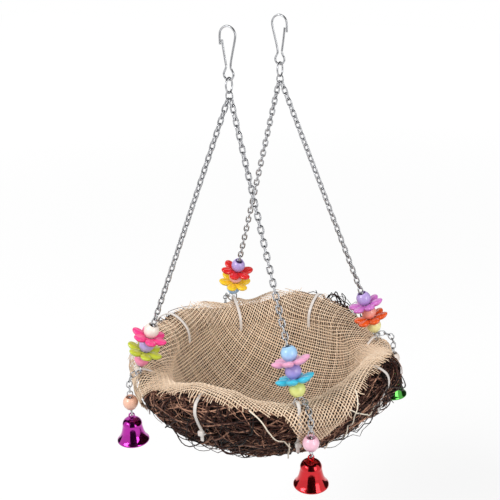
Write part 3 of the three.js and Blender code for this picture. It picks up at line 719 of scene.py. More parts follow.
def mesh_piece(name: str, points: Points, faces: list, finish: Finish) -> Piece:
    """A smooth piece from points in millimetres and faces.

    Args:
        name: Name of the piece.
        points: Corner points.
        faces: Point numbers of each face.
        finish: Material.

    Returns:
        The new object.
    """
    mesh = bpy.data.meshes.new(name)
    mesh.from_pydata((points * MM).tolist(), [], faces)
    mesh.validate()
    mesh.polygons.foreach_set("use_smooth", [True] * len(mesh.polygons))
    mesh.materials.append(finish.material())
    return new_object(name, mesh)


def turned_skin(profile: Points, segments: int) -> tuple[Points, list]:
    """A closed body of revolution about Z.

    Args:
        profile: Radius and height of each ring, going outside from the top down and back up inside; a
            ring of no radius is a pole.
        segments: Steps round the axis.

    Returns:
        Points and faces.
    """
    points, rings, poles = [], [], []
    angles = np.arange(segments) * 2 * math.pi / segments
    for radius, height in profile:
        rings.append(len(points))
        poles.append(radius < 1e-6)
        if poles[-1]:
            points.append((0.0, 0.0, height))
        else:
            points.extend(zip(radius * np.cos(angles), radius * np.sin(angles), np.full(segments, height)))
    faces = []
    last = len(profile) - 1
    closing = not poles[0] and not poles[last]
    for k in range(last + (1 if closing else 0)):
        a, b = k, (k + 1) % len(profile)
        for s in range(segments):
            t = (s + 1) % segments
            if poles[a]:
                faces.append((rings[a], rings[b] + s, rings[b] + t))
            elif poles[b]:
                faces.append((rings[a] + s, rings[b], rings[a] + t))
            else:
                faces.append((rings[a] + s, rings[b] + s, rings[b] + t, rings[a] + t))
    return np.array(points), faces


def merged(name: str, pieces: list[Piece]) -> Piece:
    """Joins pieces into the first one.

    Args:
        name: Name of the joined piece.
        pieces: Objects to join.

    Returns:
        The joined object.
    """
    with bpy.context.temp_override(active_object=pieces[0], selected_editable_objects=pieces):
        bpy.ops.object.join()
    pieces[0].name = name
    pieces[0].data.name = name
    return pieces[0]


def seated(piece: Piece, body: str, slot: str, *nodes: str) -> Piece:
    """Fastens a finished piece to the body it moves with.

    Args:
        piece: Finished object.
        body: Body of the solid model.
        slot: Material slot of the record. Not used.
        *nodes: Solids that the piece stands for.

    Returns:
        The same object.
    """
    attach(piece, body)
    if nodes:
        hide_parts(*nodes)
    LOG.info("%s: %d faces, moves with %s", piece.name, len(piece.data.polygons), body)
    return piece


# Plan of the nest, the same as in the solid model


@dataclass(frozen=True)
class Plan:
    """Heights and places that several pieces share."""

    hook_spacing: float = 74.0
    eye_centre: float = -30.35
    gather_bottom: float = -48.5
    gather_spread: float = 0.95
    gather_wire: float = 0.6
    rim_level: float = -255.5
    corner_half_spacing: float = 70.0
    rim_warp: float = 4.2
    bowl_shift: tuple[float, float] = (3.4, 2.0)
    bowl_radius: float = 104.6
    link_pitch: float = 4.75
    link_wire: float = 0.7
    link_width: float = 5.0
    rim_ring_radius: float = 3.9
    rim_ring_wire: float = 0.6
    drop_standoff: float = 8.2
    lean_end: float = -12.0

    @property
    def link_half(self) -> float:
        """From the middle of a link to the middle of its end wire."""
        return (self.link_pitch - FUSE) / 2 + self.link_wire

    def warp(self, x: Points, y: Points) -> Points:
        """Height of the warped rim above its mean level."""
        return -self.rim_warp * x * y / self.corner_half_spacing ** 2


PLAN = Plan()


@dataclass
class Corner:
    """One corner of the nest, where a chain meets the rim."""

    name: str
    end_of_bar: End
    sign: tuple[int, int]
    centre: Points = field(init=False)
    radial: Points = field(init=False)
    side: Points = field(init=False)
    shift: float = field(init=False)
    start: Points = field(init=False)
    end: Points = field(init=False)
    axis: Points = field(init=False)

    def __post_init__(self) -> None:
        """Works out the line of the chain and the place of the rim ring."""
        x, y = self.sign
        flat = np.array((x, y, 0.0)) * PLAN.corner_half_spacing
        self.radial = unit(flat)
        self.side = np.cross(UP, self.radial)
        self.centre = flat + UP * (PLAN.rim_level + PLAN.warp(flat[0], flat[1]))
        self.shift = float(np.dot((*PLAN.bowl_shift, 0.0), self.radial))
        self.start = np.array((x * PLAN.gather_spread, y * PLAN.hook_spacing / 2,
                               PLAN.gather_bottom + PLAN.gather_wire + GAP + PLAN.link_wire))
        ring_top = self.centre + UP * PLAN.rim_ring_radius
        self.axis = unit(ring_top - self.start)
        self.end = ring_top + self.axis * (PLAN.rim_ring_wire + GAP + PLAN.link_wire)

    @property
    def reach(self) -> float:
        """From the middle of the nest to the rim ring."""
        return PLAN.corner_half_spacing * math.sqrt(2)

    @property
    def sling(self) -> str:
        """Body that the chain moves with."""
        return f"{self.end_of_bar.word}_sling"

    @property
    def drop_top(self) -> Points:
        """End of the links that lean out over the rim."""
        out = PLAN.bowl_radius + self.shift + PLAN.drop_standoff - self.reach
        return self.centre + self.side * PLAN.rim_ring_radius + self.radial * out + UP * PLAN.lean_end

    @property
    def lean(self) -> tuple[Points, Points, Points]:
        """Line of the leaning links.

        Returns:
            Start, control point and end.
        """
        inset = PLAN.rim_ring_wire - FUSE / 2
        start = self.centre + self.side * PLAN.rim_ring_radius - self.radial * inset
        end = self.drop_top
        return start, np.array((end[0], end[1], self.centre[2])), end

    @property
    def lean_length(self) -> float:
        """Measures the line of the leaning links.

        Returns:
            Its length.
        """
        a, b, c = self.lean
        t = np.linspace(0, 1, 200)[:, None]
        line = (1 - t) ** 2 * a + 2 * t * (1 - t) * b + t ** 2 * c
        return float(np.linalg.norm(np.diff(line, axis=0), axis=1).sum())

    @property
    def lean_count(self) -> int:
        """Whole links in the lean."""
        return round(self.lean_length / PLAN.link_pitch)

    @property
    def hang(self) -> Points:
        """Middle of the drop's first link."""
        tip = PLAN.link_half - PLAN.link_pitch / 2
        return self.drop_top + UP * (2 * PLAN.link_wire + GAP - tip - PLAN.link_half)

    @property
    def drop_widths(self) -> tuple[Points, Points]:
        """Directions of the widths of the drop's first and second links."""
        return (self.side, self.radial) if self.lean_count % 2 == 0 else (self.radial, self.side)


CORNERS = (
    Corner("front_left", End.FRONT, (-1, -1)),
    Corner("front_right", End.FRONT, (1, -1)),
    Corner("back_right", End.BACK, (1, 1)),
    Corner("back_left", End.BACK, (-1, 1)),
)


@dataclass
class BowlForm:
    """Shape of the bowl: a line from the middle of the floor inside, over the rim, to the floor outside."""

    wall: float = 26.0
    floor: float = 10.0
    bottom: float = -72.0
    shoulder: float = -18.6
    rim_centre: float = -18.0
    rim_height: float = 10.0
    rim_rise: float = 13.0
    radial_power: float = 2.9
    depth_power: float = 1.23
    vine_turns: int = 6
    vine_pitch: float = 16.0
    vine_groove: float = 4.0
    vine_wander: float = 0.3
    vine_waves: int = 2
    vine_phase: float = 1.5
    line: Points = field(init=False)
    run: Points = field(init=False)
    normal: Points = field(init=False)
    rim_start: float = field(init=False)
    rim_end: float = field(init=False)

    def __post_init__(self) -> None:
        """Draws the line and measures it."""
        inner = self.wall_line(self.inner_radius, self.bottom + self.floor)
        turn = np.linspace(math.pi, 0, 13)
        rim = np.column_stack((self.rim_middle + self.rim_radius * np.cos(turn),
                               self.rim_centre + self.rim_height * np.sin(turn)))
        outer = self.wall_line(PLAN.bowl_radius, self.bottom)[::-1]
        self.line = np.vstack((inner, rim, outer))
        steps = np.linalg.norm(np.diff(self.line, axis=0), axis=1)
        self.run = np.concatenate(([0.0], np.cumsum(steps)))
        self.rim_start = float(self.run[len(inner)])
        self.rim_end = float(self.run[len(inner) + len(rim) - 1])
        along = np.gradient(self.line, self.run, axis=0)
        self.normal = np.column_stack((-along[:, 1], along[:, 0]))
        self.normal /= np.linalg.norm(self.normal, axis=1)[:, None]

    @property
    def inner_radius(self) -> float:
        """Radius of the wall inside."""
        return PLAN.bowl_radius - self.wall

    @property
    def rim_radius(self) -> float:
        """Half the thickness of the rim."""
        return self.wall / 2

    @property
    def rim_middle(self) -> float:
        """Radius of the crest of the rim."""
        return PLAN.bowl_radius - self.rim_radius

    @property
    def crest(self) -> float:
        """Distance along the line to the crest of the rim."""
        return (self.rim_start + self.rim_end) / 2

    def rise(self, radius: Points, height: Points, angle: Points) -> Points:
        """Height by which the scalloped rim lifts a point: nothing at the middle, all at the crest."""
        part = (height - self.bottom) / (self.rim_centre + self.rim_height - self.bottom)
        return self.rim_rise * part * radius / self.rim_middle * (1 + np.cos(4 * angle)) / 2

    def wall_line(self, radius: float, bottom: float) -> Points:
        """Half the outline of a bowl, from the middle of its floor up to its shoulder.

        Args:
            radius: Radius at the shoulder.
            bottom: Height of the middle of the floor.

        Returns:
            Radius and height of each point.
        """
        part = np.sin(np.linspace(0, math.pi / 2, 70))
        depth = (1 - part ** self.radial_power) ** (1 / self.depth_power)
        return np.column_stack((part * radius, self.shoulder + (bottom - self.shoulder) * depth))

    def wall_radius(self, height: float, radius: float, bottom: float) -> float:
        """Radius of a wall at a height."""
        depth = max((height - self.shoulder) / (bottom - self.shoulder), 0.0)
        return radius * (1 - depth ** self.depth_power) ** (1 / self.radial_power)

    def outer(self, height: float) -> float:
        """Radius of the outside at a height."""
        return self.wall_radius(height, PLAN.bowl_radius, self.bottom)

    def inner(self, height: float) -> float:
        """Radius of the inside at a height."""
        return self.wall_radius(height, self.inner_radius, self.bottom + self.floor)

    def radius_at(self, distance: Points) -> Points:
        """Radius at a distance along the line."""
        return np.interp(distance, self.run, self.line[:, 0])

    def groove(self, distance: Points, angle: Points) -> Points:
        """Depth of the grooves between the bundles of vine that are wound round the outside.

        Args:
            distance: Distance along the line from the middle of the floor inside.
            angle: Angle about the bowl's axis.

        Returns:
            The depth below the surface.
        """
        down = (distance - self.rim_end) / self.vine_pitch
        turn = np.clip(down, 0, self.vine_turns)
        for _ in range(12):
            wave = np.sin(self.vine_waves * angle + self.vine_phase * turn)
            stray = self.vine_wander * np.sin(math.pi * turn / self.vine_turns) * wave
            turn = np.clip(down - stray, 0, self.vine_turns)
        ends = np.clip(3 * np.minimum(turn, self.vine_turns - turn), 0, 1)
        return self.vine_groove * (1 - np.abs(np.sin(math.pi * turn))) * ends

    def place(self, distance: Points, angle: Points, lift: Points) -> Points:
        """Points on the bowl.

        Args:
            distance: Distance along the line from the middle of the floor inside.
            angle: Angle about the bowl's axis.
            lift: Height off the surface.

        Returns:
            The points in the frame, in millimetres.
        """
        radius = self.radius_at(distance) + lift * np.interp(distance, self.run, self.normal[:, 0])
        height = (np.interp(distance, self.run, self.line[:, 1])
                  + lift * np.interp(distance, self.run, self.normal[:, 1]))
        x = radius * np.cos(angle) + PLAN.bowl_shift[0]
        y = radius * np.sin(angle) + PLAN.bowl_shift[1]
        level = PLAN.rim_level + height + self.rise(radius, height, angle)
        return np.stack((x, y, level + PLAN.warp(x, y)), axis=-1)


BOWL = BowlForm()


# Burlap


@dataclass
class BurlapLiner:
    """Open plain-woven jute, laid in the bowl with its corners over the rim and its edges frayed.

    Corners go round from the front left, and sides from the front; `spreads` gives the half width of each
    corner's tongue before and after its middle, and `bulges` gives angle, height and half width of places
    where the cloth stands off the rim. `pleats` gives how many waves go round and where they start, and
    `painted_crossing_shading` is how much a yarn is lightened as a painted highlight where it lies on top and
    darkened as painted shade where it goes under. A yarn may end short of the outline or past it by `ragged`,
    and its frayed end may stand off the cloth by `fray_lift`.
    """

    overhangs: tuple[float, float, float, float] = (12.5, 8.0, 6.0, 3.0)
    tongue: float = 27.0
    spreads: tuple[tuple[float, float], ...] = ((0.42, 0.17), (0.10, 0.34), (0.13, 0.25), (0.25, 0.22))
    pitch: float = 2.3
    yarn: float = 0.45
    flatness: float = 0.75
    crimp: float = 0.25
    lift: float = 1.4
    flap_lift: float = 2.7
    fringe: float = 5.0
    fold_height: float = 2.2
    fold_start: float = 0.5
    pleats: tuple[tuple[int, float], tuple[int, float]] = ((13, 0.8), (7, 2.1))
    bulges: tuple[tuple[float, float, float], ...] = ((-2.75, 7.0, 0.22), (2.7, 5.0, 0.22), (2.0, 5.0, 0.25))
    gather: float = 4.3
    gather_spread: float = 6.5
    gather_below: float = 9.0
    smooth_floor: float = 60.0
    yarn_spread: float = 0.1
    tone: float = 0.55
    tone_spread: float = 0.07
    tone_waves: float = 0.12
    painted_crossing_shading: float = 0.33
    wander: float = 0.2
    slub: float = 0.18
    ragged: tuple[float, float] = (-1.8, 1.6)
    fray_lift: tuple[float, float] = (-0.9, 1.8)
    fray_thinning: float = 0.35
    seed: int = 11

    def half(self, side: int) -> float:
        """From the middle to the edge between two corners, laid flat."""
        return BOWL.crest + self.overhangs[side]

    def from_corner(self, angle: Points) -> tuple[Points, Points]:
        """Number of the nearest corner, and the angle from it."""
        number = np.floor((angle + math.pi) % (2 * math.pi) / (math.pi / 2)).astype(int) % 4
        return number, (angle + math.pi) % (math.pi / 2) - math.pi / 4

    def edge(self, angle: Points) -> Points:
        """Outline of the flat cloth: a tongue at each corner, drawn in at its sides.

        Args:
            angle: Angle about the middle.

        Returns:
            Distance from the middle to the edge.
        """
        number, away = self.from_corner(angle)
        spread = np.array(self.spreads)[number, (away > 0).astype(int)]
        sides = np.arange(-1, 5) * math.pi / 2 - math.pi / 2
        halves = [self.half(k % 4) for k in range(-1, 5)]
        between = np.interp((angle + math.pi / 2 + math.pi / 4) % (2 * math.pi) - math.pi / 2 - math.pi / 4,
                            sides, halves)
        return between + self.tongue * np.exp(-(away / spread) ** 2)

    def lay(self, u: Points, v: Points, off: Points) -> Points:
        """Lays points of the flat cloth in the bowl.

        Args:
            u: Place along the first yarns.
            v: Place across them.
            off: Height off the cloth's middle.

        Returns:
            The points in the frame.
        """
        distance = np.hypot(u, v)
        angle = np.arctan2(v, u)
        over = np.clip((distance - BOWL.rim_start) / (BOWL.rim_end - BOWL.rim_start), 0, 1)
        out = np.clip(distance / BOWL.crest - self.fold_start, 0, 1) / (1 - self.fold_start)
        (many, start), (few, late) = self.pleats
        waves = 0.5 + 0.5 * np.sin(many * angle + start) * np.cos(few * angle + late)
        fold = self.fold_height * out * (1 - 0.6 * over) * np.cos(2 * angle) ** 2 * waves
        ripple = 0.6 * np.sin(u / 17 + 1.3) * np.sin(v / 21 + 0.4) + 0.35 * np.sin((u + 1.7 * v) / 9)
        ripple = ripple * np.clip(distance / self.smooth_floor, 0, 1)
        lift = self.lift + (self.flap_lift - self.lift) * over + fold + ripple
        for middle, height, spread in self.bulges:
            away = (angle - middle + math.pi) % (2 * math.pi) - math.pi
            lift = lift + height * over * np.exp(-(away / spread) ** 2)
        to_ring = np.hypot(self.from_corner(angle)[1] * BOWL.rim_middle,
                           distance - BOWL.crest - self.gather_below)
        lift = lift + self.gather * np.exp(-(to_ring / self.gather_spread) ** 2)
        return BOWL.place(distance, angle, lift + off)

    def yarn_runs(self, across: float, crosswise: bool, rng: np.random.Generator) -> list[Points]:
        """Crossings of a yarn that lie on the cloth, cut where it leaves the outline.

        Args:
            across: Distance of the yarn from the middle.
            crosswise: Whether it runs along the second direction of the cloth.
            rng: Source of the random numbers.

        Returns:
            Numbers of the crossings in each length of the yarn.
        """
        reach = int((max(map(self.half, range(4))) + self.tongue) / self.pitch)
        steps = np.arange(-reach, reach + 1)
        along = steps * self.pitch
        angle = np.arctan2(along, across) if crosswise else np.arctan2(across, along)
        ends = rng.uniform(*self.ragged, 2)
        inside = np.hypot(along, across) < self.edge(angle) + np.where(along > 0, ends[0], ends[1])
        kept = steps[inside]
        runs = np.split(kept, np.flatnonzero(np.diff(kept) > 1) + 1)
        return [run for run in runs if len(run) > 3]

    def uneven(self, rng: np.random.Generator, rows: int, crossings: int, length: int) -> Points:
        """Slow random waves along a yarn, each some crossings long."""
        return noise_along(rng, rows, crossings, max(crossings // length, 2))

    def yarns(self, rng: np.random.Generator, crosswise: bool) -> tuple[list, list, list, list]:
        """Lines of the yarns that run one way.

        Args:
            rng: Source of the random numbers.
            crosswise: Whether they run along the second direction of the cloth.

        Returns:
            Lines, half widths, tones and directions off the cloth.
        """
        lines, thick, tones, outward = [], [], [], []
        sides = (3, 1) if crosswise else (0, 2)
        first, last = [int((self.half(side) - self.fringe) / self.pitch) for side in sides]
        for k in range(-first, last + 1):
            across = k * self.pitch
            body = self.yarn * rng.normal(1, self.yarn_spread)
            shade = self.tone + self.tone_spread * rng.normal()
            for steps in self.yarn_runs(across, crosswise, rng):
                along = steps * self.pitch
                angle = np.arctan2(along, across) if crosswise else np.arctan2(across, along)
                frayed = np.hypot(along, across) - self.edge(angle) + self.fringe
                free = np.clip(frayed / self.fringe, 0, 1.4)
                wave = np.where((steps + k) % 2 == 0, 1.0, -1.0)
                wander = self.wander * self.uneven(rng, 2, len(along), 14)
                sway = rng.normal(0, 1.0, 2)
                over = (-1 if crosswise else 1) * wave * (1 - np.clip(free, 0, 1))
                off = self.crimp * over
                off += 0.12 * wander[0] + free ** 2 * rng.uniform(*self.fray_lift)
                sideways = across + wander[1] + free ** 2 * np.where(along > 0, sway[0], sway[1])
                u, v = (sideways, along) if crosswise else (along, sideways)
                lines.append(self.lay(u, v, off))
                outward.append(self.lay(u, v, off + 1) - lines[-1])
                slub = 1 + self.slub * self.uneven(rng, 1, len(along), 6)[0]
                thick.append(body * np.clip(slub, 0.6, 1.5) * (1 - self.fray_thinning * np.clip(free, 0, 1)))
                shades = shade + self.tone_waves * self.uneven(rng, 1, len(along), 10)[0]
                # painted highlight where the yarn lies on top of a crossing, painted shade where it goes
                # under
                tones.append(np.clip(shades + self.painted_crossing_shading * over, 0, 1))
        return lines, thick, tones, outward

    def build(self) -> None:
        """Weaves the cloth and fastens it to the nest."""
        rng = np.random.default_rng(self.seed)
        lines, thick, tones, outward = [weft + warp for weft, warp in
                                        zip(self.yarns(rng, False), self.yarns(rng, True))]
        weave = strands("burlap_weave", lines, thick, tones, JUTE, 4, outward=outward, flatness=self.flatness)
        seated(weave, "nest", JUTE.slot, "burlap_liner")
        round_edge = self.edge(np.linspace(-math.pi, math.pi, 720, endpoint=False))


@dataclass
class LooseYarns:
    """Yarns that have come out of the cloth and hang down over the vine.

    `paths` gives distance along the bowl's line and angle about its axis.
    """

    half_width: float = 0.5
    lift: float = 4.2
    tone: float = 0.6
    paths: tuple = (
        ((126.0, -1.18), (130.4, -1.093), (140.6, -1.008), (154.1, -0.888)),
        ((150.0, -0.90), (158.9, -0.895), (177.0, -0.874)),
        ((131.0, -0.48), (144.0, -0.27), (155.2, -0.12), (152.0, -0.05)),
        ((124.0, -0.38), (137.4, -0.429), (156.8, -0.401), (174.6, -0.521)),
    )

    def build(self) -> None:
        """Lays the yarns and fastens them to the nest."""
        lines = []
        for path in self.paths:
            scale = np.array((1.0, BOWL.rim_middle))
            distance, angle = (smooth_through(np.array(path) * scale, 24) / scale).T
            lines.append(BOWL.place(distance, angle, self.lift - BOWL.groove(distance, angle)))
        count = len(lines)
        piece = strands("burlap_loose_yarns", lines, [self.half_width] * count, [self.tone] * count, CREAM)
        seated(piece, "nest", CREAM.slot)


# Vine bowl


@dataclass
class VineBowl:
    """Hundreds of thin dark vines wound round and round, over a heart painted near black as shade, with stray
    curls.

    `inset` and `inset_inside` are the depths of the heart below the wall's outside and inside. Vines lie
    `under_cloth` below the surface up to `cloth_margin` short of the cloth's edge, and `under_tie` below it
    within `tie_clearance` of a tie. Beyond, they rise again at the slope `recovery`. At the right the wall
    stands out by `swell`: it starts `swell_start` past the crest, is full `swell_rise` further on, and fades
    over the last `swell_fade` before `swell_end`. The greater `thin_share` is, the more vines are thin.
    """

    step: float = 4.0
    thin: float = 0.3
    thick: float = 0.8
    thin_share: float = 1.6
    taper: tuple[float, float] = (0.4, 0.9)
    wander: float = 0.06
    waviness: float = 1.0
    tone_spread: float = 0.33
    tone_flecks: float = 0.07
    inset: float = 4.2
    inset_inside: float = 1.4
    under_cloth: float = 0.4
    cloth_margin: float = 2.0
    under_tie: float = 0.6
    tie_clearance: float = 2.6
    recovery: float = 1.8
    swell: float = 7.0
    swell_angle: float = 0.36
    swell_spread: float = 0.2
    swell_start: float = 8.0
    swell_rise: float = 20.0
    swell_end: float = 215.0
    swell_fade: float = 40.0
    seed: int = 23

    def heart(self) -> Piece:
        """Makes the inside of the wall, painted near black as the shade that is seen between the vines.

        Returns:
            The new object.
        """
        keep = np.append(np.arange(0, len(BOWL.run) - 2, 2), len(BOWL.run) - 1)
        spots, faces = turned_skin(np.column_stack((BOWL.line[keep, 0], BOWL.run[keep])), 96)
        distance, angle = spots[:, 2], np.arctan2(spots[:, 1], spots[:, 0])
        inset = np.where(distance <= BOWL.rim_start, self.inset_inside, self.inset)
        sunk = inset + BOWL.groove(distance, angle)
        points = BOWL.place(distance, angle, self.bulge(distance, angle) - sunk)
        return mesh_piece("vine_heart", points, [face[::-1] for face in faces], PAINTED_SHADE_HEART)

    def bulge(self, distance: Points, angle: Points) -> Points:
        """Height by which the wall swells out at the right, below the rim.

        Args:
            distance: Distance along the bowl's line.
            angle: Angle about the bowl's axis.

        Returns:
            The height off the surface.
        """
        below = (np.clip((distance - BOWL.crest - self.swell_start) / self.swell_rise, 0, 1)
                 * np.clip((self.swell_end - distance) / self.swell_fade, 0, 1))
        return self.swell * below * np.exp(-((angle - self.swell_angle) / self.swell_spread) ** 2)

    def held_down(self, rise: Points, distance: Points, angle: Points) -> Points:
        """Keeps vines down under the cloth and the ties, and lays them on the swell and in the grooves.

        Args:
            rise: Height of each point off a plain wall.
            distance: Distance along the bowl's line.
            angle: Angle about the bowl's axis.

        Returns:
            The height off the surface.
        """
        beyond = np.maximum(distance - BurlapLiner().edge(angle) + self.cloth_margin, 0)
        rise = np.minimum(rise, -self.under_cloth + self.recovery * beyond)
        from_tie = ((angle + math.pi / 8) % (math.pi / 4) - math.pi / 8) * BOWL.radius_at(distance)
        beside = np.maximum(np.abs(from_tie) - self.tie_clearance, 0)
        rise = np.minimum(rise, -self.under_tie + self.recovery * beside)
        return rise + self.bulge(distance, angle) - BOWL.groove(distance, angle)

    def wind(self, rng: np.random.Generator, count: int, low: float, high: float, slope: float,
             lift: tuple[float, float], tone: float, loose: float = 0.0, steps: int = 34,
             facing: tuple[float, float] = (-math.pi, math.pi)) -> tuple[list, list, list]:
        """Vines that wander round the bowl.

        Args:
            rng: Source of the random numbers.
            count: How many vines.
            low: Least distance along the bowl's line.
            high: Greatest distance along the bowl's line.
            slope: Spread of their slopes, in radians.
            lift: Least and greatest height off the surface.
            tone: Mean tone, from dark to light.
            loose: How far the middle of a vine stands off, between the corners.
            steps: Points of the longest vine.
            facing: Least and greatest angle that they start at.

        Returns:
            Lines, half thicknesses and tones.
        """
        angle = rng.uniform(*facing, count)
        distance = rng.uniform(low, high, count)
        heading = rng.normal(0, slope, count) + np.where(rng.random(count) < 0.5, 0, math.pi)
        turn = rng.normal(0, self.wander, count)
        spots = []
        for _ in range(steps):
            spots.append((distance, angle))
            radius = np.maximum(BOWL.radius_at(distance), 12)
            angle = angle + np.cos(heading) * self.step / radius
            distance = distance + np.sin(heading) * self.step
            heading = heading + turn + rng.normal(0, self.wander, count)
            heading = np.where((distance < low) | (distance > high), -heading, heading)
            distance = np.clip(distance, low, high)
        where = np.array(spots)
        distance, angle = where[:, 0].T, where[:, 1].T
        bow = np.sin(np.linspace(0, math.pi, steps)) ** 2 * np.cos(2 * angle) ** 2
        rise = rng.uniform(*lift, count)[:, None] + self.waviness * noise_along(rng, count, steps, 6)
        rise = rise + loose * rng.uniform(0.3, 1.0, (count, 1)) * bow
        rise = self.held_down(rise, distance, angle)
        lines, thick, tones = [], [], []
        for k in range(count):
            long = steps if loose else int(rng.integers(steps // 2, steps + 1))
            lines.append(BOWL.place(where[:long, 0, k], where[:long, 1, k], rise[k, :long]))
            body = self.thin + (self.thick - self.thin) * rng.random() ** self.thin_share
            thick.append(body * np.linspace(1, rng.uniform(*self.taper), long))
            shades = rng.normal(tone, self.tone_spread) + self.tone_flecks * rng.normal(size=long)
            tones.append(np.clip(shades, 0, 1))
        return lines, thick, tones

    def build(self) -> None:
        """Winds the bowl and fastens it to the nest."""
        rng = np.random.default_rng(self.seed)
        end, rim = float(BOWL.run[-1]), BOWL.rim_end
        layers = (
            # the lowest vines get a dark tone as painted shade, where they lie under the others
            ("vines_under", self.wind(rng, 620, rim - 14, end - 10, 0.9, (-3.4, -1.2), 0.14)),
            ("vines_low", self.wind(rng, 560, rim + 14, end - 10, 0.4, (-1.6, 1.0), 0.48)),
            ("vines_high", self.wind(rng, 640, rim - 14, rim + 50, 0.32, (-1.6, 1.0), 0.48)),
            ("vines_stray", self.wind(rng, 150, rim - 12, end - 30, 0.8, (0.0, 1.2), 0.42, 4.5)),
            ("vines_curled", self.wind(rng, 90, rim + 2, end - 45, 1.3, (-0.5, 0.8), 0.2, 11.0, 14)),
            ("vines_behind", self.wind(rng, 44, rim - 8, rim + 8, 0.9, (1.0, 3.0), -0.2, 13.0, 12,
                                       (1.0, 1.65))),
            # the vines inside the wall get a dark tone as painted shade, where they lie behind the cloth
            ("vines_inside", self.wind(rng, 380, 8.0, BOWL.crest, 0.5, (-1.6, -0.7), 0.1)),
        )
        seated(self.heart(), "nest", BARK.slot, "vine_bowl")
        for name, laid in layers:
            seated(strands(name, *laid, BARK, sides=4), "nest", BARK.slot, "vine_bowl")


# Cable ties


@dataclass
class CableTie:
    """A nylon tie: a flat strap round the wall with its head and cut tail outside."""

    node: str
    place: Points
    top: tuple[float, float]
    facing: float
    over_outside: bool
    over_inside: bool
    width: float = 2.5
    thickness: float = 1.0
    head: tuple[float, float, float] = (3.2, 4.4, 4.0)
    tail: float = 7.0
    depth: float = -33.0
    standoff: float = 3.3
    rim_standoff: float = 4.0
    bare_standoff: float = 1.0
    entry: float = -24.0
    crest: float = 2.8
    rim_turn: float = math.pi / 6
    rounding: float = 0.25
    head_rounding: float = 0.6

    def over_rim(self, angle: float, standoff: float) -> tuple[float, float]:
        """Point of the strap over the rim, as across and up."""
        return (BOWL.rim_middle + (BOWL.rim_radius + standoff) * math.cos(angle),
                BOWL.rim_centre + (BOWL.rim_height + standoff) * math.sin(angle))

    def path(self) -> Points:
        """Line of the strap in the upright plane of its place.

        Returns:
            Points, as across and up.
        """
        middle = (self.depth + BOWL.shoulder) / 2
        outer_rim = self.rim_standoff if self.over_outside else self.bare_standoff
        inner_rim = self.rim_standoff if self.over_inside else 0.0
        inner_wall = self.standoff if self.over_inside else 0.0
        x, z = self.top
        points = np.array((
            (BOWL.outer(self.depth) + self.bare_standoff, self.depth),
            (BOWL.outer(middle) + self.bare_standoff, middle),
            (BOWL.outer(BOWL.shoulder) + self.bare_standoff, BOWL.shoulder),
            self.over_rim(self.rim_turn, outer_rim),
            (x + self.crest, z),
            (x - self.crest, z),
            self.over_rim(math.pi - 2 * self.rim_turn, inner_rim),
            self.over_rim(math.pi - self.rim_turn, inner_rim),
            (BOWL.inner(BOWL.shoulder) - inner_wall, BOWL.shoulder),
            (BOWL.inner(self.entry), self.entry),
            (BOWL.outer(self.depth - self.standoff), self.depth - self.standoff),
            (BOWL.outer(self.depth - self.standoff) + self.bare_standoff, self.depth - self.standoff),
        ))
        points[:, 1] += BOWL.rise(points[:, 0], points[:, 1], self.facing)
        return smooth_through(points, 100)

    def strap(self, path: Points) -> tuple[Points, list]:
        """The swept strap.

        Args:
            path: Line of the strap.

        Returns:
            Points and faces.
        """
        along = np.gradient(path, axis=0)
        along /= np.linalg.norm(along, axis=1)[:, None]
        out = np.column_stack((along[:, 1], -along[:, 0]))
        w, t, r = self.width / 2, self.thickness / 2, self.rounding
        section = [(w - r, t), (w, t - r), (w, r - t), (w - r, -t),
                   (r - w, -t), (-w, r - t), (-w, t - r), (r - w, t)]
        points, n = [], len(section)
        for spot, normal in zip(path, out):
            for across, thick in section:
                points.append((spot[0] + normal[0] * thick, across, spot[1] + normal[1] * thick))
        faces = []
        for k in range(len(path) - 1):
            for s in range(n):
                a, b = k * n + s, k * n + (s + 1) % n
                faces.append((a, b, b + n, a + n))
        last = (len(path) - 1) * n
        faces.append(tuple(range(n))[::-1])
        faces.append(tuple(range(last, last + n)))
        return np.array(points), faces

    def block(self, name: str, size: tuple[float, float, float], centre: tuple[float, float, float],
              rounding: float) -> Piece:
        """A moulded block with rounded edges, in the tie's own place.

        Args:
            name: Name of the block.
            size: Its size along the place's X, Y and Z.
            centre: Its middle.
            rounding: Radius of its edges.

        Returns:
            The new object.
        """
        x, y, z = (s / 2 for s in size)
        points = np.array([(a * x, b * y, c * z) for a in (-1, 1) for b in (-1, 1) for c in (-1, 1)])
        faces = [(0, 1, 3, 2), (4, 6, 7, 5), (0, 4, 5, 1), (2, 3, 7, 6), (0, 2, 6, 4), (1, 5, 7, 3)]
        piece = mesh_piece(name, moved(points + np.array(centre), self.place), faces, NYLON)
        bevel = piece.modifiers.new("rounding", "BEVEL")
        bevel.width = rounding * MM
        bevel.segments = 3
        return settled(piece)

    def build(self) -> None:
        """Makes the tie and fastens it to the nest."""
        path = self.path()
        points, faces = self.strap(path)
        strap = mesh_piece(f"{self.node}_strap", moved(points, self.place), faces, NYLON)
        foot, drop = path[0], self.standoff / 2
        head = self.block(f"{self.node}_head", self.head,
                          (foot[0] + (self.head[0] - self.thickness) / 2, 0, foot[1] - drop),
                          self.head_rounding)
        tail = self.block(f"{self.node}_tail", (self.thickness, self.width, self.tail),
                          (foot[0], 0, foot[1] - drop - self.tail / 2), self.rounding)
        seated(merged(f"{self.node}_nylon", [strap, head, tail]), "nest", NYLON.slot, self.node)


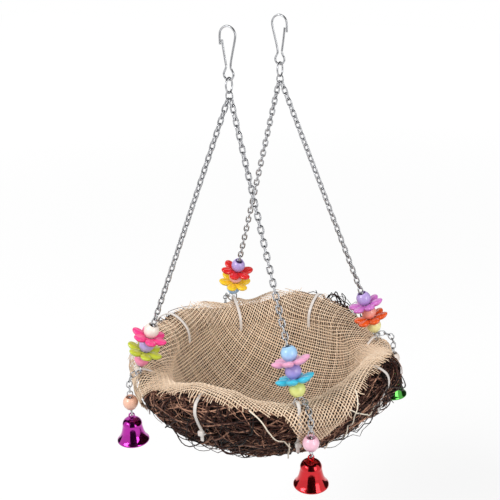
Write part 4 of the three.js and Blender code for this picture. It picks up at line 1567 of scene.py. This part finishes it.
def all_ties() -> list[CableTie]:
    """Sets out the ties.

    Returns:
        Those at the corners, through the rim rings, and those midway between.
    """
    ring_height, ring_offset = -0.9, -1.2
    ties = []
    for corner in CORNERS:
        place = frame_at(UP * corner.centre[2], UP, corner.radial) @ shifted((corner.shift, ring_offset, 0.0))
        top = (corner.reach - corner.shift, ring_height)
        ties.append(CableTie(f"{corner.name}_ring_tie", place, top, math.pi / 4, False,
                             corner.name == "back_left"))
    for name, facing, over in (("left", math.pi, True), ("front", -math.pi / 2, False), ("right", 0.0, False),
                               ("back", math.pi / 2, True)):
        radial = np.array((math.cos(facing), math.sin(facing), 0.0))
        across = np.cross(UP, radial)
        shift = np.array((*PLAN.bowl_shift, 0.0))
        place = frame_at(UP * PLAN.rim_level, UP, radial) @ shifted((shift @ radial, shift @ across, 0.0))
        top = (BOWL.rim_middle, BOWL.rim_centre + BOWL.rim_height + (CableTie.rim_standoff if over else 0.0))
        ties.append(CableTie(f"{name}_tie", place, top, facing, over, over))
    return ties


def shifted(by: tuple[float, float, float]) -> Points:
    """A place moved from the origin, unturned.

    Args:
        by: How far along X, Y and Z.

    Returns:
        A 4 by 4 matrix.
    """
    place = np.eye(4)
    place[:3, 3] = by
    return place


# Hooks, hangers and chains


@dataclass
class SnapHook:
    """A snap hook bent from one wire, its sprung arm resting inside the nose, and its hanger."""

    end: End
    wire: float = 0.75
    bar_radius: float = 1.5
    arch_radius: float = 6.2
    nose: float = 6.3
    eye_radius: float = 3.9
    waist: float = 1.8
    waist_height: float = 5.2
    eye_mouth: float = math.pi / 4
    gate_overlap: float = 3.4
    gate_bow: float = 0.15
    ring_width: float = 9.5
    ring_length: float = 12.0
    ring_wire: float = 0.65
    gather_width: float = 6.5
    gather_length: float = 7.5
    sides: int = 12

    @property
    def y(self) -> float:
        """Place along the bar."""
        return self.end.value * PLAN.hook_spacing / 2

    @property
    def facing(self) -> int:
        """Which way the nose points along X."""
        return self.end.value

    def body_line(self) -> Points:
        """Line of the wire, from the nose over the arch, down the back and round the eye.

        Returns:
            Points of the line.
        """
        arch, eye = self.arch_radius, self.eye_radius
        arch_centre = self.bar_radius + self.wire - arch
        spots = [(arch, arch_centre - self.nose)]
        for angle in np.linspace(0, math.pi, 9):
            spots.append((arch * math.cos(angle), arch_centre + arch * math.sin(angle)))
        spots.append((-self.waist, PLAN.eye_centre + self.waist_height))
        for angle in np.linspace(self.eye_mouth, 2 * math.pi - self.eye_mouth, 9):
            spots.append((-eye * math.sin(angle), PLAN.eye_centre + eye * math.cos(angle)))
        spots.append((self.waist, PLAN.eye_centre + self.waist_height))
        return smooth_through(np.array([(self.facing * x, self.y, z) for x, z in spots]), 140)

    def gate_line(self) -> Points:
        """Line of the sprung arm, from its foot to its tip.

        Returns:
            Points of the line.
        """
        foot = (self.waist, PLAN.eye_centre + self.waist_height + 2 * GAP)
        nose_end = self.bar_radius + self.wire - self.arch_radius - self.nose
        tip = (self.arch_radius - 2 * self.wire - GAP, nose_end + self.gate_overlap)
        bow = ((foot[0] + tip[0]) / 2 + self.gate_bow, (foot[1] + tip[1]) / 2)
        return smooth_through(np.array([(self.facing * x, self.y, z) for x, z in (foot, bow, tip)]), 24)

    def build(self) -> None:
        """Makes the hook, its arm and its hanger."""
        word = self.end.word
        hook = strands(f"{word}_hook_wire", [self.body_line()], [self.wire], [EVEN_TONE], STEEL, self.sides)
        seated(hook, "hooks", STEEL.slot, f"{word}_hook")
        gate = strands(f"{word}_hook_arm", [self.gate_line()], [self.wire], [EVEN_TONE], STEEL, self.sides)
        seated(gate, f"{word}_gate", STEEL.slot, f"{word}_hook_gate")
        top = PLAN.eye_centre - self.eye_radius + self.wire + self.ring_wire + GAP
        half = self.ring_length / 2 - self.ring_wire
        upright = oval(half, self.ring_width / 2 - self.ring_wire, 48)[:, (2, 1, 0)]
        line = upright + np.array((0.0, self.y, top - half))
        ring = strands(f"{word}_hanger_ring", [line], [self.ring_wire], [EVEN_TONE], STEEL, self.sides,
                       closed=True)
        middle = np.array((0.0, self.y, PLAN.gather_bottom + self.gather_length / 2 - PLAN.gather_wire))
        link = links(f"{word}_gather_link", (middle + UP * 0.5, middle, middle - UP * 0.5), 1,
                     np.array((1.0, 0.0, 0.0)), 0.0, self.gather_length, self.gather_width,
                     PLAN.gather_wire, STEEL)
        seated(merged(f"{word}_hanger_wire", [ring, link]), f"{word}_hang", STEEL.slot, f"{word}_hanger")


@dataclass
class CornerSteel:
    """The steel at one corner: sling chain, rim ring with leaning links, and drop chain with the bell's ring.

    `drop_wire` is the wire of the leaning links and the drop chain for the sling's, so that the drop swings
    free, and `rim_wire` is the rim ring's, thin enough for the sling's last link to clear it when the nest
    tilts.
    """

    corner: Corner
    drop_links: int = 4
    drop_wire: float = 0.7
    rim_wire: float = 0.51
    bell_ring_radius: float = 3.4
    bell_ring_wire: float = 0.6

    @property
    def bell_ring_top(self) -> float:
        """Height of the bell ring's top wire from the drop's first link."""
        return (-(self.drop_links - 1) * PLAN.link_pitch - PLAN.link_half + PLAN.link_wire
                + self.bell_ring_wire - FUSE)

    @property
    def ring_normal(self) -> Points:
        """Direction that the bell's ring faces."""
        return self.corner.drop_widths[(self.drop_links - 1) % 2]

    def ring(self, name: str, centre: Points, normal: Points, radius: float, wire: float) -> Piece:
        """A ring of round wire.

        Args:
            name: Name of the ring.
            centre: Its middle.
            normal: Direction that it faces.
            radius: Radius of the line of its wire.
            wire: Half thickness of the wire.

        Returns:
            The new object.
        """
        line = moved(oval(radius, radius, 40), frame_at(centre, normal, UP))
        return strands(name, [line], [wire], [EVEN_TONE], STEEL, sides=10, closed=True)

    def sling(self) -> None:
        """The chain from the hook to the rim."""
        c = self.corner
        run = np.linalg.norm(c.end - c.start) - 2 * PLAN.link_half
        count = round(run / PLAN.link_pitch) + 1
        pitch = run / (count - 1)
        first, last = square_to(ALONG, c.axis), square_to(c.radial, c.axis)
        wanted = math.atan2(np.cross(first, last) @ c.axis, first @ last)
        half_turns = (wanted - (count - 1) * math.pi / 2) / math.pi
        twist = (half_turns - round(half_turns)) * math.pi
        a = c.start + c.axis * (PLAN.link_half - pitch / 2)
        b = a + c.axis * pitch * count
        length = 2 * (PLAN.link_half + PLAN.link_wire) + pitch - PLAN.link_pitch
        chain = links(f"{c.name}_chain_links", (a, (a + b) / 2, b), count, ALONG,
                      math.pi / 2 + twist / (count - 1), length, PLAN.link_width, PLAN.link_wire, STEEL)
        seated(chain, c.sling, STEEL.slot, f"{c.name}_chain")

    def rim_ring(self) -> None:
        """The ring at the rim and the links that lean out from it."""
        c = self.corner
        ring = self.ring(f"{c.name}_rim_loop", c.centre, c.radial, PLAN.rim_ring_radius, self.rim_wire)
        pitch = c.lean_length / c.lean_count
        wire = PLAN.link_wire * self.drop_wire
        length = 2 * (PLAN.link_half + wire) + pitch - PLAN.link_pitch
        lean = links(f"{c.name}_lean_links", c.lean, c.lean_count, c.side, math.pi / 2, length,
                     PLAN.link_width, wire, STEEL)
        seated(merged(f"{c.name}_rim_steel", [ring, lean]), "nest", STEEL.slot, f"{c.name}_rim_ring")

    def drop(self) -> None:
        """The chain that the bell hangs on."""
        c = self.corner
        a = c.hang + UP * PLAN.link_pitch / 2
        b = a - UP * PLAN.link_pitch * self.drop_links
        wire = PLAN.link_wire * self.drop_wire
        chain = links(f"{c.name}_drop_links", (a, (a + b) / 2, b), self.drop_links, c.drop_widths[0],
                      math.pi / 2, 2 * (PLAN.link_half + wire), PLAN.link_width, wire, STEEL)
        centre = c.hang + UP * (self.bell_ring_top - self.bell_ring_radius)
        ring = self.ring(f"{c.name}_bell_loop", centre, self.ring_normal, self.bell_ring_radius,
                         self.bell_ring_wire)
        seated(merged(f"{c.name}_drop_steel", [chain, ring]), f"{c.name}_drop_chain", STEEL.slot,
               f"{c.name}_drop_chain")

    def build(self) -> None:
        """Makes all the steel of the corner."""
        self.sling()
        self.rim_ring()
        self.drop()


# Beads, flowers and bells


@dataclass
class Bead:
    """A round acrylic bead with a wide bore.

    `edge` is the drop from its end faces to its round outside, and `bevel` and `mouth` round off the bore.
    """

    radius: float = 6.0
    length: float = 10.0
    bore: float = 3.2
    lip: float = 0.5
    edge: float = 0.15
    bevel: tuple[float, float] = (0.15, 0.12)
    mouth: float = 0.6
    segments: int = 40

    def profile(self) -> Points:
        """Rings of the bead, outside from the top down and back up the bore.

        Returns:
            Radius and height of each ring.
        """
        half, round_out = self.length / 2, self.radius
        end = math.asin((half - self.edge) / round_out)
        outside = [(round_out * math.cos(t), round_out * math.sin(t)) for t in np.linspace(end, -end, 17)]
        rim = [(self.bore + self.lip, half), (self.bore + self.bevel[0], half - self.bevel[1]),
               (self.bore, half - self.mouth)]
        return np.array([*rim[::-1], *outside, *[(r, -h) for r, h in rim]])

    def skin(self) -> tuple[Points, list]:
        """Points and faces about the origin, the bore along Z."""
        return turned_skin(self.profile(), self.segments)


@dataclass
class Flower:
    """A six-petal acrylic flower: plump oval petals round a flat hub, cupped upwards.

    A groove runs out along each petal, full from `groove_start` past the hub.
    """

    petals: int = 6
    petal_centre: float = 9.1
    petal_length: float = 5.4
    petal_width: float = 4.35
    petal_thickness: float = 2.5
    hub: float = 6.0
    hub_thickness: float = 1.15
    groove: float = 0.55
    groove_width: float = 0.9
    groove_start: float = 4.0
    cup: float = 1.5
    bore: float = 3.2
    steps: int = 144
    rings: int = 16

    def edge(self, angle: Points) -> Points:
        """Outline of a petal and the hub.

        Args:
            angle: Angle from the middle of the petal.

        Returns:
            Radius of the outline.
        """
        a, b, c = self.petal_length, self.petal_width, self.petal_centre
        x, y = np.cos(angle), np.sin(angle)
        square = x ** 2 / a ** 2 + y ** 2 / b ** 2
        half = x * c / a ** 2
        inside = half ** 2 - square * (c ** 2 / a ** 2 - 1)
        out = (half + np.sqrt(np.maximum(inside, 0))) / square
        return np.where(inside > 0, np.maximum(out, self.hub), self.hub)

    def half_thickness(self, radius: Points, angle: Points, part: float) -> Points:
        """Half the thickness at a place.

        Args:
            radius: Distance from the middle of the flower.
            angle: Angle from the middle of the petal.
            part: How far out from the bore to the outline, from 0 to 1.

        Returns:
            The height off the middle of the thickness.
        """
        x, y = radius * np.cos(angle), radius * np.sin(angle)
        bulge = 1 - ((x - self.petal_centre) / self.petal_length) ** 2 - (y / self.petal_width) ** 2
        petal = self.petal_thickness * np.sqrt(np.maximum(bulge, 0))
        groove = self.groove * np.exp(-(y / self.groove_width) ** 2)
        petal = petal - groove * np.clip((x - self.hub) / self.groove_start, 0, 1) * (1 - part ** 4)
        hub = self.hub_thickness * np.sqrt(np.maximum(1 - (radius / (self.hub + 0.05)) ** 6, 0))
        return np.maximum(np.maximum(petal, hub), 0.0 if part == 1 else 0.02)

    def skin(self) -> tuple[Points, list]:
        """Skin of the flower about the origin, the bore along Z.

        Returns:
            Points and faces.
        """
        turn = np.arange(self.steps) * 2 * math.pi / self.steps
        period = 2 * math.pi / self.petals
        angle = (turn + period / 2) % period - period / 2
        edge = self.edge(angle)
        rows = []
        for side in (1, -1):
            layer = []
            for part in np.sin(np.linspace(0, math.pi / 2, self.rings)):
                r = self.bore + (edge - self.bore) * part
                out = np.clip((r - self.hub) / (self.petal_centre + self.petal_length - self.hub), 0, 1)
                z = side * self.half_thickness(r, angle, part) + self.cup * out ** 2
                layer.append(np.column_stack((r * np.cos(turn), r * np.sin(turn), z)))
            rows.append(layer)
        order = [*rows[0], *rows[1][-2::-1]]
        faces, n, total = [], self.steps, len(order)
        for k in range(total):
            a, b = k * n, ((k + 1) % total) * n
            for s in range(n):
                t = (s + 1) % n
                faces.append((a + s, b + s, b + t, a + t))
        return np.vstack(order), faces


@dataclass
class Bell:
    """A small pressed bell: a button crown with a loop, a raised ring, a waisted flank and a rolled lip."""

    radius: float = 12.8
    height: float = 20.0
    wall: float = 0.9
    loop_radius: float = 2.0
    loop_wire: float = 0.6
    clapper_radius: float = 3.0
    clapper_stem: float = 0.6
    outline: tuple[tuple[float, float], ...] = (
        (0.10, 0.0), (0.26, 0.012), (0.40, 0.04), (0.50, 0.09), (0.565, 0.15), (0.60, 0.21), (0.615, 0.26),
        (0.60, 0.285), (0.615, 0.36), (0.65, 0.48), (0.695, 0.60), (0.755, 0.71), (0.83, 0.81), (0.91, 0.88),
        (0.97, 0.925), (1.0, 0.96), (0.995, 0.985), (0.97, 1.0))

    @property
    def crown(self) -> float:
        """Height of the crown from the middle of the loop."""
        return -self.loop_radius - self.loop_wire + FUSE

    @property
    def mouth(self) -> float:
        """Height of the mouth from the middle of the loop."""
        return self.crown - self.height

    def shell(self) -> tuple[Points, list]:
        """Skin of the pressed shell, the loop's middle at the origin.

        Returns:
            Points and faces.
        """
        shape = smooth_through(np.array(self.outline), 44)
        outside = np.column_stack((shape[:, 0] * self.radius, self.crown - shape[:, 1] * self.height))
        inside = outside[-2::-1].copy()
        inside[:, 0] -= self.wall
        inside[:, 1] -= self.wall * np.linspace(0.0, 1.0, len(inside))
        inside = inside[inside[:, 0] > 0.8]
        profile = np.vstack(((0.0, self.crown), outside, inside, (0.0, inside[-1][1])))
        return turned_skin(profile, 64)

    def loop_line(self) -> Points:
        """Line of the loop on the crown, in the XZ plane."""
        return oval(self.loop_radius, self.loop_radius, 28)[:, (0, 2, 1)]

    def clapper(self) -> tuple[Points, list]:
        """Skin of the clapper, a stem with a ball at the mouth.

        Returns:
            Points and faces.
        """
        centre = self.mouth + self.clapper_radius
        pivot = self.crown - self.wall - 2 * GAP
        ball = [(self.clapper_radius * math.sin(t), centre + self.clapper_radius * math.cos(t))
                for t in np.linspace(0.21, math.pi, 14)]
        profile = np.array([(0.0, pivot), (self.clapper_stem, pivot - 0.2), *ball])
        profile[-1, 0] = 0.0
        return turned_skin(profile, 24)


@dataclass(frozen=True)
class Colours:
    """Colours of one corner: the stack from the top, the drop's bead and the bell, as slot name and hex."""

    stack: tuple[tuple[str, str], ...]
    drop_bead: tuple[str, str]
    bell: tuple[str, str]


PALETTE = {
    "front_left": Colours(
        (("cream", "#ecdfd5"), ("hot_pink", "#ee3f86"), ("lavender", "#b9a2dd"), ("lime", "#bbc738"),
         ("mauve_pink", "#ee86a8")), ("peach", "#f0bba2"), ("magenta", "#b02a9e")),
    "front_right": Colours(
        (("light_blue", "#9dc6ea"), ("light_pink", "#e69fc0"), ("violet", "#a493d2"), ("cyan", "#35bbd8"),
         ("lime_yellow", "#dbde82")), ("pale_pink", "#eebccd"), ("red", "#c9282f")),
    "back_right": Colours(
        (("lilac", "#b49bd6"), ("orchid", "#cc72c2"), ("salmon", "#f2a091"), ("orange", "#e25716"),
         ("pale_yellow", "#efe7a2")), ("cream", "#ecdfd5"), ("green", "#4fa544")),
    "back_left": Colours(
        (("purple", "#b29cd6"), ("bright_red", "#d82524"), ("rose", "#f2b6c4"), ("yellow", "#efca2a"),
         ("light_blue", "#9dc6ea")), ("lime_yellow", "#dbde82"), ("blue", "#2f6fc4")),
}
STACK = ("top_bead", "upper_flower", "middle_bead", "lower_flower", "bottom_bead")


@dataclass
class CornerTrim:
    """The threaded stack on one chain, and the bead and bell of its drop."""

    corner: Corner
    steel: CornerSteel
    stack_lift: float = 2.4
    flower_pitch: float = 2.4
    bead: Bead = field(default_factory=Bead)
    flower: Flower = field(default_factory=Flower)
    bell: Bell = field(default_factory=Bell)

    def plastic(self, colour: tuple[str, str]) -> MouldedPlastic:
        """Moulded acrylic of a colour."""
        return MouldedPlastic(f"acrylic_{colour[0]}", f"plastic_{colour[0]}", colour[1])

    def stack(self) -> None:
        """Threads the beads and flowers on the chain, from the lowest up."""
        c, colours = self.corner, PALETTE[self.corner.name].stack
        up, height = -c.axis, self.stack_lift
        for k in reversed(range(len(STACK))):
            blossom = STACK[k].endswith("flower")
            length = self.flower_pitch if blossom else self.bead.length
            place = frame_at(c.end + up * (height + length / 2), up, c.side)
            points, faces = self.flower.skin() if blossom else self.bead.skin()
            finish = self.plastic(colours[k])
            node = f"{c.name}_{STACK[k]}"
            piece = mesh_piece(f"{node}_acrylic", moved(points, place), faces, finish)
            seated(piece, node, finish.slot, node)
            height += length + GAP

    def drop(self) -> None:
        """Hangs the bead, the bell and its clapper."""
        c, s = self.corner, self.steel
        outer = s.bell_ring_radius + s.bell_ring_wire
        shoulder = math.sqrt(outer ** 2 - self.bead.bore ** 2)
        bead_height = s.bell_ring_top - s.bell_ring_radius + shoulder + GAP + self.bead.length / 2
        finish = self.plastic(PALETTE[c.name].drop_bead)
        points, faces = self.bead.skin()
        place = frame_at(c.hang + UP * bead_height, UP, s.ring_normal)
        seated(mesh_piece(f"{c.name}_drop_bead_acrylic", moved(points, place), faces, finish),
               f"{c.name}_drop_bead", finish.slot, f"{c.name}_drop_bead")
        loop_height = (s.bell_ring_top - 2 * s.bell_ring_radius + s.bell_ring_wire + GAP + self.bell.loop_wire
                       - self.bell.loop_radius)
        place = frame_at(c.hang + UP * loop_height, UP, s.ring_normal)
        word, colour = PALETTE[c.name].bell
        lacquer = LacqueredSteel(f"lacquered_steel_{word}", f"bell_{word}", colour)
        points, faces = self.bell.shell()
        shell = mesh_piece(f"{c.name}_bell_shell", moved(points, place), faces, lacquer)
        loop = strands(f"{c.name}_bell_crown_loop", [moved(self.bell.loop_line(), place)],
                       [self.bell.loop_wire], [EVEN_TONE], lacquer, sides=8, closed=True)
        seated(merged(f"{c.name}_bell_lacquered", [shell, loop]), f"{c.name}_bell", lacquer.slot,
               f"{c.name}_bell")
        points, faces = self.bell.clapper()
        seated(mesh_piece(f"{c.name}_clapper_steel", moved(points, place), faces, STEEL), f"{c.name}_clapper",
               STEEL.slot, f"{c.name}_clapper")

    def build(self) -> None:
        """Makes all the trim of the corner."""
        self.stack()
        self.drop()


# Studio


@dataclass
class Studio:
    """Pale floor, soft light and the camera at the photograph's viewing angle.

    `glow` is the floor's own light near the nest and far off, and `glow_reach` where these hold, in metres.
    """

    azimuth: float = 30.72
    elevation: float = 20.37
    distance: float = 700.0
    focal_px: float = 902.0
    frame_px: float = 500.0
    sensor_mm: float = 36.0
    roll: float = -1.52
    target: tuple[float, float, float] = (-6.36, -3.78, -171.5)
    floor_level: float = -500.0
    floor_half: float = 4000.0
    floor_grey: float = 0.36
    glow: tuple[float, float] = (0.635, 0.755)
    glow_reach: tuple[float, float] = (0.5, 2.3)
    sky: float = 0.68
    card_distance: float = 850.0
    card_grey: float = 0.01

    def direction(self, azimuth: float, elevation: float) -> tuple[Points, Points]:
        """A direction from the nest.

        Args:
            azimuth: Angle round the nest from its front, in degrees.
            elevation: Angle above level, in degrees.

        Returns:
            The direction, and the level one to the right as seen from there.
        """
        az, el = math.radians(azimuth), math.radians(elevation)
        out = np.array((math.sin(az) * math.cos(el), -math.cos(az) * math.cos(el), math.sin(el)))
        return out, np.array((math.cos(az), math.sin(az), 0.0))

    def panel(self, name: str, corners: Points, material: bpy.types.Material) -> bpy.types.Mesh:
        """Mesh of a flat board.

        Args:
            name: Name of the board.
            corners: Its four corners in order, in millimetres.
            material: Its material.

        Returns:
            The new mesh.
        """
        mesh = bpy.data.meshes.new(name)
        mesh.from_pydata((corners * MM).tolist(), [], [(0, 1, 2, 3)])
        mesh.materials.append(material)
        return mesh

    def camera(self) -> None:
        """Sets the camera."""
        back, right = map(Vector, self.direction(self.azimuth, self.elevation))
        above = back.cross(right)
        turn = math.radians(self.roll)
        x = right * math.cos(turn) + above * math.sin(turn)
        y = above * math.cos(turn) - right * math.sin(turn)
        data = bpy.data.cameras.new("camera")
        data.sensor_width = self.sensor_mm
        data.lens = self.focal_px / self.frame_px * self.sensor_mm
        data.clip_start = 0.01
        camera = bpy.data.objects.new("camera", data)
        place = Matrix((x, y, back)).transposed().to_4x4()
        place.translation = (Vector(self.target) + back * self.distance) * MM
        camera.matrix_world = place
        bpy.context.scene.collection.objects.link(camera)
        bpy.context.scene.camera = camera

    def seen_directly(self, tree: Tree) -> Socket:
        """Tells what is looked at from what only lights.

        Args:
            tree: Tree that gets the nodes.

        Returns:
            One where the ray comes from the camera, a mirror or glass, and nought elsewhere.
        """
        path = add_node(tree, "ShaderNodeLightPath").outputs
        mirrored = maths(tree, "MAXIMUM", path["Is Camera Ray"], path["Is Glossy Ray"])
        return maths(tree, "MAXIMUM", mirrored, path["Is Transmission Ray"])

    def world(self) -> None:
        """A white room that lights the object at a plain level."""
        world = bpy.data.worlds.new("studio")
        bpy.context.scene.world = world
        world.use_nodes = True
        tree = world.node_tree
        tree.nodes.clear()
        light = add_node(tree, "ShaderNodeBackground", {
            "Color": (1.0, 1.0, 1.0, 1.0), "Strength": ranged(tree, self.seen_directly(tree), self.sky, 1.0)})
        add_node(tree, "ShaderNodeOutputWorld", {"Surface": light.outputs[0]})

    def floor(self) -> None:
        """A pale floor well below the hanging nest, evened out to white where the lamps fall off."""
        half, level, grey = self.floor_half, self.floor_level, self.floor_grey
        corners = np.array([(-half, -half, level), (half, -half, level), (half, half, level),
                            (-half, half, level)])
        material = bpy.data.materials.new("white_board")
        material.use_nodes = True
        tree = material.node_tree
        tree.nodes.clear()
        lit = add_node(tree, "ShaderNodeBsdfDiffuse", {"Color": (grey, grey, grey, 1.0)})
        where = add_node(tree, "ShaderNodeTexCoord")
        away = add_node(tree, "ShaderNodeVectorMath", {0: where.outputs["Object"]}, operation="LENGTH")
        even = ranged(tree, away.outputs["Value"], *self.glow, self.glow_reach)
        shown = maths(tree, "MULTIPLY", even, self.seen_directly(tree))
        glow = add_node(tree, "ShaderNodeEmission", {"Color": (1.0, 1.0, 1.0, 1.0), "Strength": shown})
        pale = add_node(tree, "ShaderNodeAddShader", {0: lit.outputs[0], 1: glow.outputs[0]})
        add_node(tree, "ShaderNodeOutputMaterial", {"Surface": pale.outputs[0]})
        mesh = self.panel("floor", corners, material)
        new_object("floor", mesh)

    def lamp(self, name: str, place: tuple[float, float, float], size: float, power: float) -> None:
        """A square soft lamp aimed at the middle of the nest.

        Args:
            name: Name of the lamp.
            place: Where it stands, in millimetres.
            size: Length of its sides, in millimetres.
            power: Its power in watts.
        """
        data = bpy.data.lights.new(name, "AREA")
        data.size = size * MM
        data.energy = power
        lamp = bpy.data.objects.new(name, data)
        spot = Vector(place) * MM
        aim = Vector(self.target) * MM - spot
        lamp.matrix_world = Matrix.Translation(spot) @ aim.to_track_quat("-Z", "Y").to_matrix().to_4x4()
        bpy.context.scene.collection.objects.link(lamp)

    def dark_card(self, name: str, azimuth: float, elevation: float, width: float, height: float) -> None:
        """A dark card that only mirrors see, so that bright metal has edges to show.

        Args:
            name: Name of the card.
            azimuth: Direction from the nest, in degrees from the camera's.
            elevation: Height of that direction, in degrees.
            width: Its width, in millimetres.
            height: Its height, in millimetres.
        """
        out, right = self.direction(self.azimuth + azimuth, elevation)
        middle = np.array(self.target) + out * self.card_distance
        across, rise = right * width / 2, np.cross(out, right) * height / 2
        corners = np.array([middle - across - rise, middle + across - rise, middle + across + rise,
                            middle - across + rise])
        material = bpy.data.materials.get("dark_card") or bpy.data.materials.new("dark_card")
        material.use_nodes = True
        shader = material.node_tree.nodes["Principled BSDF"]
        shader.inputs["Base Color"].default_value = (self.card_grey, self.card_grey, self.card_grey, 1.0)
        card = new_object(name, self.panel(name, corners, material))
        card.visible_camera = card.visible_diffuse = card.visible_shadow = False
        card.visible_transmission = False

    def build(self) -> None:
        """Sets up the room."""
        bpy.context.scene.view_settings.view_transform = "Standard"
        self.camera()
        self.world()
        self.floor()
        self.lamp("key", (-500.0, -1000.0, 700.0), 700.0, 12.5)
        self.lamp("fill", (1100.0, -500.0, 200.0), 900.0, 8.0)
        self.dark_card("card_front", 2.0, 0.0, 950.0, 1400.0)
        self.dark_card("card_overhead", 0.0, 86.0, 1900.0, 1900.0)
        self.dark_card("card_right", 120.0, 5.0, 900.0, 1300.0)
        self.dark_card("card_left", -120.0, 5.0, 420.0, 1300.0)


def main() -> None:
    """Builds the nest from the bowl up, then the room."""
    logging.basicConfig(level=logging.INFO, format="%(message)s")
    VineBowl().build()
    BurlapLiner().build()
    LooseYarns().build()
    for tie in all_ties():
        tie.build()
    for end in End:
        SnapHook(end).build()
    for corner in CORNERS:
        steel = CornerSteel(corner)
        steel.build()
        CornerTrim(corner, steel).build()
    Studio().build()


if __name__ == "__main__":
    main()
